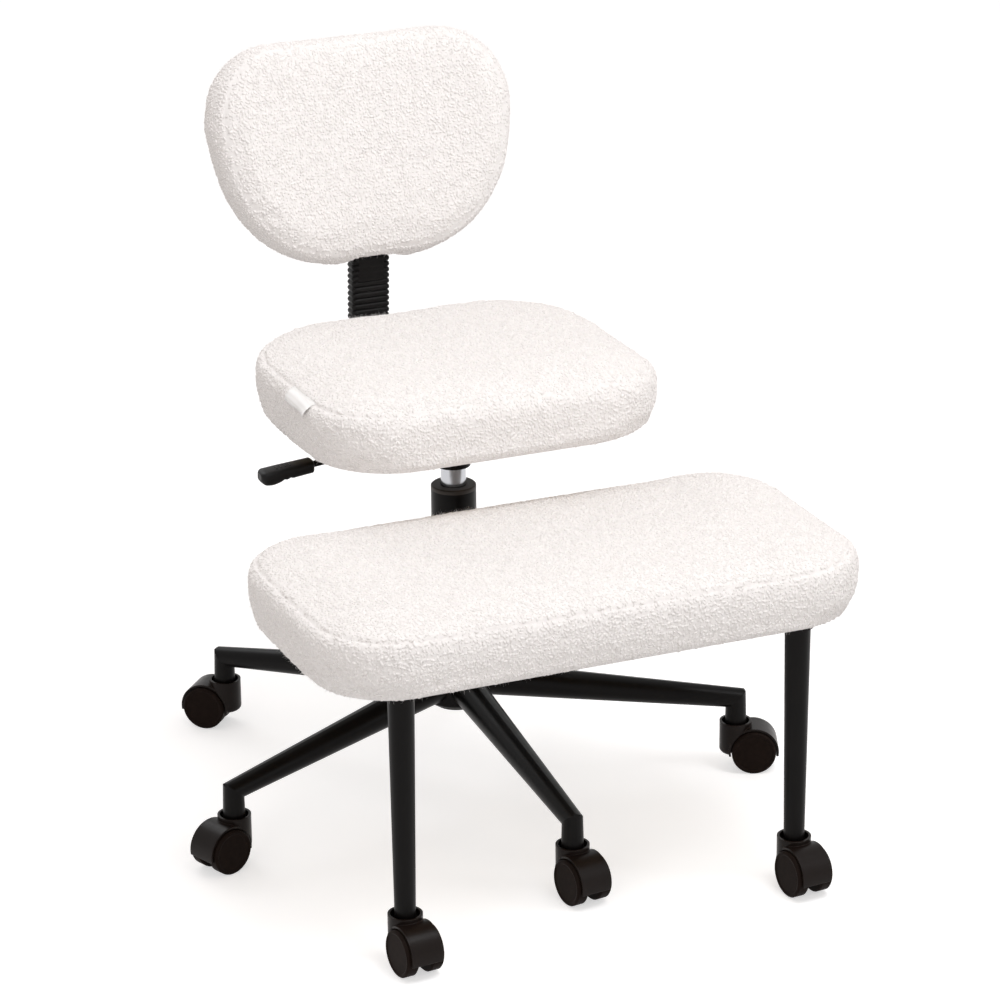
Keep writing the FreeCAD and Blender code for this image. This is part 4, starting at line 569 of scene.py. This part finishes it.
PADDLE_INNER = -0.172        # end on the rod's side
PADDLE_LENGTH = 0.062
PADDLE_HALF = 0.0105         # half width at the rod
PADDLE_FLARE = 0.002         # what it gains towards the outer end
PADDLE_ABOVE = 0.0066        # height over the rod's centre line
PADDLE_BELOW = 0.0072        # depth under it
PADDLE_BELLY = 0.0024        # more depth under the outer end
FINGER_DIPS = (0.46, 0.58)   # shares of the length where the scallops are
FINGER_DEPTH = 0.0014
PADDLE_SQUARE = 0.5          # power that makes the round section squarish
stations, around = 46, 28
paddle_mesh = bpy.data.meshes.new("lever_paddle")
paddle_shape = bmesh.new()
rings = []
for i in range(stations):
    share = i / (stations - 1)
    centre = on_lever(PADDLE_INNER - PADDLE_LENGTH * share)
    ends = min(1.0, 0.86 + share * 6) * math.sqrt(max(0.16, 1 - max(0.0, (share - 0.9) / 0.112) ** 2))
    half = (PADDLE_HALF + PADDLE_FLARE * math.sin(min(1.0, share / 0.75) * math.pi / 2) ** 2) * ends
    above = PADDLE_ABOVE * (0.35 + 0.65 * ends)
    belly = PADDLE_BELOW + PADDLE_BELLY * math.exp(-((share - 0.79) / 0.15) ** 2)
    for dip in FINGER_DIPS:
        belly -= FINGER_DEPTH * math.exp(-((share - dip) / 0.035) ** 2)
    below = belly * ends
    ring = []
    for k in range(around):
        angle = 2 * math.pi * k / around
        across = math.copysign(abs(math.cos(angle)) ** PADDLE_SQUARE, math.cos(angle)) * half
        rise = math.copysign(abs(math.sin(angle)) ** PADDLE_SQUARE, math.sin(angle))
        height = rise * (above if rise > 0 else below)
        ring.append(paddle_shape.verts.new(centre + Vector((0, across, height))))
    rings.append(ring)
for first, second in zip(rings, rings[1:]):
    for k in range(around):
        after = (k + 1) % around
        paddle_shape.faces.new((first[k], first[after], second[after], second[k])).smooth = True
for ring in (rings[0], rings[-1]):
    paddle_shape.faces.new(ring)
bmesh.ops.recalc_face_normals(paddle_shape, faces=paddle_shape.faces)
paddle_shape.to_mesh(paddle_mesh)
paddle_shape.free()
paddle_mesh.materials.append(paddle_plastic)
paddle = new_object("lever_paddle", paddle_mesh)
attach(paddle, "lever")
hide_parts("lever_grip")

RIDGE_START = -0.199         # first ridge on the paddle
RIDGE_HEIGHT = 0.0064        # their centre lines over the rod's
ridge_tree, given, ridge_inputs = new_pattern("thumb_ridges", (
    ("Count", "Int", 4), ("Pitch", "Vector", (-0.0052, -0.00057, -0.00026)),
    ("First", "Vector", tuple(on_lever(RIDGE_START) + Vector((0, 0, RIDGE_HEIGHT)))),
    ("Length", "Float", 0.009), ("Radius", "Float", 0.0008)))
row = add_node(ridge_tree, "GeometryNodeMeshLine", {"Count": given["Count"], "Start Location": given["First"],
                                                    "Offset": given["Pitch"]})
stick = add_node(ridge_tree, "GeometryNodeMeshCylinder", {
    "Vertices": 10, "Side Segments": 3, "Radius": given["Radius"], "Depth": given["Length"]})
lying = add_node(ridge_tree, "GeometryNodeTransform", {"Geometry": stick.outputs[0],
                                                       "Rotation": (math.radians(90), 0.0, 0.0)})
placed = add_node(ridge_tree, "GeometryNodeInstanceOnPoints", {
    "Points": row.outputs[0], "Instance": lying.outputs[0]})
real = add_node(ridge_tree, "GeometryNodeRealizeInstances", {0: placed.outputs[0]})
dressed = add_node(ridge_tree, "GeometryNodeSetMaterial", {0: real.outputs[0], "Material": paddle_plastic})
add_node(ridge_tree, "NodeGroupOutput", {0: dressed.outputs[0]})
ridges = new_object("thumb_ridges", bpy.data.meshes.new("thumb_ridges"))
ridging = ridges.modifiers.new("ridges", "NODES")
ridging.node_group = ridge_tree
for identifier, usual in ridge_inputs.values():
    ridging[identifier] = usual
settle(ridges)
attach(ridges, "lever")

# Back bar: a flat steel bar bent up behind the seat in a ribbed bellows boot, with a knob under the seat.
# The boot is soft PVC, matt black with a dull bloom on its ribs, and the knob is the lever paddle's plastic.
finish_nodes(powder_coat, "back_bar")
finish_nodes(paddle_plastic, "depth_knob")

boot_pvc, tree, place = new_material("soft_pvc_bellows")
BLOOM = 0.008
BOOT_GRAIN = 0.0008
BOOT_EDGE = 0.0008           # radius of the ribs' edges
bloom = add_node(tree, "ShaderNodeTexNoise", {"Vector": place, "Scale": 1 / BLOOM, "Detail": 3.0})
grain = add_node(tree, "ShaderNodeTexNoise", {"Vector": place, "Scale": 1 / BOOT_GRAIN, "Detail": 1.0})
soft = add_node(tree, "ShaderNodeBevel", {"Radius": BOOT_EDGE}, samples=4)
tone = add_node(tree, "ShaderNodeMix", {
    "Factor": bloom.outputs["Fac"], 6: linear("#0C0B0B"), 7: linear("#1A1817")}, data_type="RGBA")
rubbery = add_node(tree, "ShaderNodeBump", {
    "Height": grain.outputs["Fac"], "Strength": 0.1, "Distance": 0.0002, "Normal": soft.outputs["Normal"]})
skin = add_node(tree, "ShaderNodeBsdfPrincipled", {
    "Base Color": tone.outputs[2], "Roughness": 0.46, "IOR": 1.52, "Specular IOR Level": 0.12,
    "Normal": rubbery.outputs["Normal"]})
add_node(tree, "ShaderNodeOutputMaterial", {"Surface": skin.outputs[0]})
finish_nodes(boot_pvc, "bar_boot")

# Backrest: a curved pad, wider at the top, on a board and a guide that slides on the bar.
# Fleece over foam all round, with the front panel sewn to the sides just behind the front edge.
BACK_TILT = math.radians(15.5)
BACK_UP = np.array((0.0, math.sin(BACK_TILT), math.cos(BACK_TILT)))
BACK_REAR = np.array((0.0, math.cos(BACK_TILT), -math.sin(BACK_TILT)))
BAR_LEAN = math.radians(3)   # forwards, of the bar's upright part
BAR_UPRIGHT = 0.2505         # how far behind the column that part starts
KINK_RISE = 0.1355           # height of the bar's upper bend over its level part
KINK_HEIGHT = 0.561          # and over the floor
BACK_ABOVE_KINK = 0.1135
BACK_BAR_OFFSET = 0.006      # how far the pad's middle lies ahead of the bar's
BACK_KINK = np.array((0.0, BAR_UPRIGHT - KINK_RISE * math.tan(BAR_LEAN), KINK_HEIGHT))
BACK_CENTRE = BACK_KINK + BACK_UP * BACK_ABOVE_KINK - BACK_REAR * BACK_BAR_OFFSET
BACK_CURVE = 0.790           # radius of the pad's curve, seen from above
BOARD_HALF_WIDTH, BOARD_HALF_HEIGHT, BOARD_CORNER = 0.079, 0.0355, 0.054       # to the corners' centres
GUIDE_HALF_WIDTH, GUIDE_LOW, GUIDE_HIGH = 0.036, -0.118, 0.03
INSIDE_DEPTH = 0.024         # how near the pad's middle the board and the guide lie
MOUTH_HALF_WIDTH, MOUTH_TOP, MOUTH_DEPTH = 0.05, -0.1, 0.02        # the slot where the bar comes in
MOUTH_FACING = -0.6          # skin that faces further down than this is seen
BACK_HALF_HEIGHT = 0.1255
BACK_HALF_WIDTH = 0.178      # at half height
BACK_FLARE = 0.1912          # what the half width gains with the height
FLARE_SLANT = 1.0181         # length of a slanting side to its height
TOP_CORNER_X, TOP_CORNER_HIGH, TOP_CORNER = 0.0956, 0.0375, 0.088    # corners' centres and radii
LOW_CORNER_X, LOW_CORNER_HIGH, LOW_CORNER = 0.0382, 0.0145, 0.140
BACK_SEAM_INSET = 0.0085
BACK_SEAM_DEPTH = -0.0262    # ahead of the pad's middle


def in_back(places):
    """Places on the backrest as distance round its curve, height on it and depth behind its middle."""
    away = places - BACK_CENTRE
    deep = away @ BACK_REAR + BACK_CURVE
    return np.stack((BACK_CURVE * np.arctan2(places[:, 0], deep), away @ BACK_UP,
                     np.hypot(places[:, 0], deep) - BACK_CURVE), axis=1)


def back_hidden(places, normals):
    """Share of the backrest's skin that is inside it, round its board and its guide."""
    round_, high, deep = in_back(places).T
    x = np.abs(round_)
    board = np.hypot(np.maximum(x - BOARD_HALF_WIDTH, 0),
                     np.maximum(np.abs(high) - BOARD_HALF_HEIGHT, 0)) < BOARD_CORNER
    guide = (x < GUIDE_HALF_WIDTH) & (high > GUIDE_LOW) & (high < GUIDE_HIGH)
    mouth = ((x < MOUTH_HALF_WIDTH) & (high < MOUTH_TOP) & (np.abs(deep) < MOUTH_DEPTH)
             & (normals[:, 2] > MOUTH_FACING))
    return ((board | guide) & (np.abs(deep) < INSIDE_DEPTH) | mouth).astype(float)


def back_seam(places, normals):
    """Way to the seam behind the front edge, along the rounding that it is sewn on."""
    round_, high, deep = in_back(places).T
    x = np.abs(round_)
    side_inset = (BACK_HALF_WIDTH + BACK_FLARE * high - x) / FLARE_SLANT
    inset = np.minimum(BACK_HALF_HEIGHT - np.abs(high), side_inset)
    top_corner = TOP_CORNER - np.hypot(x - TOP_CORNER_X, high - TOP_CORNER_HIGH)
    low_corner = LOW_CORNER - np.hypot(x - LOW_CORNER_X, high - LOW_CORNER_HIGH)
    inset = np.where((x > TOP_CORNER_X) & (high > TOP_CORNER_HIGH), np.minimum(inset, top_corner), inset)
    inset = np.where((x > LOW_CORNER_X) & (high < LOW_CORNER_HIGH), np.minimum(inset, low_corner), inset)
    sideways = normals - np.outer(normals @ BACK_REAR, BACK_REAR)
    sideways /= np.maximum(np.linalg.norm(sideways, axis=1), 1e-6)[:, None]
    return sideways * (inset - BACK_SEAM_INSET)[:, None] + np.outer(BACK_SEAM_DEPTH - deep, BACK_REAR)


backrest = stuffed("back_cushion", "backrest_fleece", back_hidden, back_seam,
                   seam_depth=0.0008, softness=18, room=-0.0022, seed=37)
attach(backrest, "backrest")
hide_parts("back_cushion")

# Studio: a pale floor that reads white to the camera and keeps the chair's shadow, under broad soft lamps.
# The camera stands in front, to the sitter's right and above, where the chair's top faces and near side show.
scene = bpy.context.scene
scene.view_settings.view_transform = "Standard"


def seen_rays(tree):
    """Socket that is 1 for rays that the picture shows: from the camera, or by gloss or through glass."""
    path = add_node(tree, "ShaderNodeLightPath").outputs
    seen = add_node(tree, "ShaderNodeMath", {
        0: path["Is Camera Ray"], 1: path["Is Glossy Ray"]}, operation="MAXIMUM")
    return add_node(tree, "ShaderNodeMath", {0: seen.outputs[0], 1: path["Is Transmission Ray"]},
                    operation="MAXIMUM").outputs[0]


FILL_LIGHT = 0.63            # light that the white surroundings give
world = bpy.data.worlds.new("white_studio")
scene.world = world
world.use_nodes = True
tree = world.node_tree
tree.nodes.clear()
seen = seen_rays(tree)
strength = add_node(tree, "ShaderNodeMapRange", {"Value": seen, "To Min": FILL_LIGHT, "To Max": 1.0})
tint = add_node(tree, "ShaderNodeMix", {
    "Factor": seen, 6: linear("#FFF8F4"), 7: linear("#FFFFFF")}, data_type="RGBA")
glow = add_node(tree, "ShaderNodeBackground", {
    "Color": tint.outputs[2], "Strength": strength.outputs["Result"]})
add_node(tree, "ShaderNodeOutputWorld", {"Surface": glow.outputs[0]})

FLOOR_HALF = 9
FLOOR_GLOW = 0.55            # lifts the floor to white where it is seen
floor_mesh = bpy.data.meshes.new("floor")
floor_corners = [(-FLOOR_HALF, -FLOOR_HALF, 0), (FLOOR_HALF, -FLOOR_HALF, 0),
                 (FLOOR_HALF, FLOOR_HALF, 0), (-FLOOR_HALF, FLOOR_HALF, 0)]
floor_mesh.from_pydata(floor_corners, [], [(0, 1, 2, 3)])
floor = new_object("floor", floor_mesh)
paint = bpy.data.materials.new("white_floor_paint")
paint.use_nodes = True
tree = paint.node_tree
tree.nodes.clear()
matt = add_node(tree, "ShaderNodeBsdfDiffuse", {"Color": linear("#DADADA")})
strength = add_node(tree, "ShaderNodeMath", {0: seen_rays(tree), 1: FLOOR_GLOW}, operation="MULTIPLY")
lit = add_node(tree, "ShaderNodeEmission", {"Color": (1, 1, 1, 1), "Strength": strength.outputs[0]})
both = add_node(tree, "ShaderNodeAddShader", {0: matt.outputs[0], 1: lit.outputs[0]})
add_node(tree, "ShaderNodeOutputMaterial", {"Surface": both.outputs[0]})
floor_mesh.materials.append(paint)

for lamp_name, spot, aim, wide, tall, power in (
        ("key_lamp", (0.5, -1.3, 3.0), (0, 0, 0.4), 1.2, 1.2, 43.0),
        ("side_lamp", (2.2, -2.0, 1.3), (0, 0, 0.4), 0.4, 2.0, 8.5),
        ("left_lamp", (-2.4, -2.2, 1.2), (0, 0, 0.35), 0.9, 1.8, 9.0),
        ("rear_lamp", (-0.6, 2.4, 2.4), (0, 0, 0.5), 1.5, 1.5, 15.0)):
    lamp = bpy.data.lights.new(lamp_name, "AREA")
    lamp.shape = "RECTANGLE"
    lamp.size = wide
    lamp.size_y = tall
    lamp.energy = power
    lamp.color = linear("#FAFCFF")[:3]
    holder = new_object(lamp_name, lamp)
    holder.location = spot
    holder.rotation_euler = (Vector(aim) - Vector(spot)).to_track_quat("-Z", "Y").to_euler()

VIEW_AZIMUTH = math.radians(-23.062)
VIEW_ELEVATION = math.radians(20.612)
VIEW_ROLL = math.radians(-0.583)
VIEW_DISTANCE = 4.353545
VIEW_HEIGHT = 0.337372       # of the point that the camera looks at
VIEW_SHIFT = 0.050904        # of that point to the right
FOCAL_LENGTH = 3959.706 / 1000                     # in widths of the picture
SENSOR_WIDTH = 36.0
back = Vector((math.sin(VIEW_AZIMUTH) * math.cos(VIEW_ELEVATION),
               -math.cos(VIEW_AZIMUTH) * math.cos(VIEW_ELEVATION), math.sin(VIEW_ELEVATION)))
level = Vector((math.cos(VIEW_AZIMUTH), math.sin(VIEW_AZIMUTH), 0))
upright = back.cross(level)
right = level * math.cos(VIEW_ROLL) + upright * math.sin(VIEW_ROLL)
up = upright * math.cos(VIEW_ROLL) - level * math.sin(VIEW_ROLL)
lens = bpy.data.cameras.new("camera")
lens.sensor_fit = "HORIZONTAL"
lens.sensor_width = SENSOR_WIDTH
lens.lens = SENSOR_WIDTH * FOCAL_LENGTH
lens.clip_end = 60.0
camera = new_object("camera", lens)
camera.matrix_world = Matrix((right, up, back)).transposed().to_4x4()
camera.location = Vector((0, 0, VIEW_HEIGHT)) + right * VIEW_SHIFT + back * VIEW_DISTANCE
scene.camera = camera
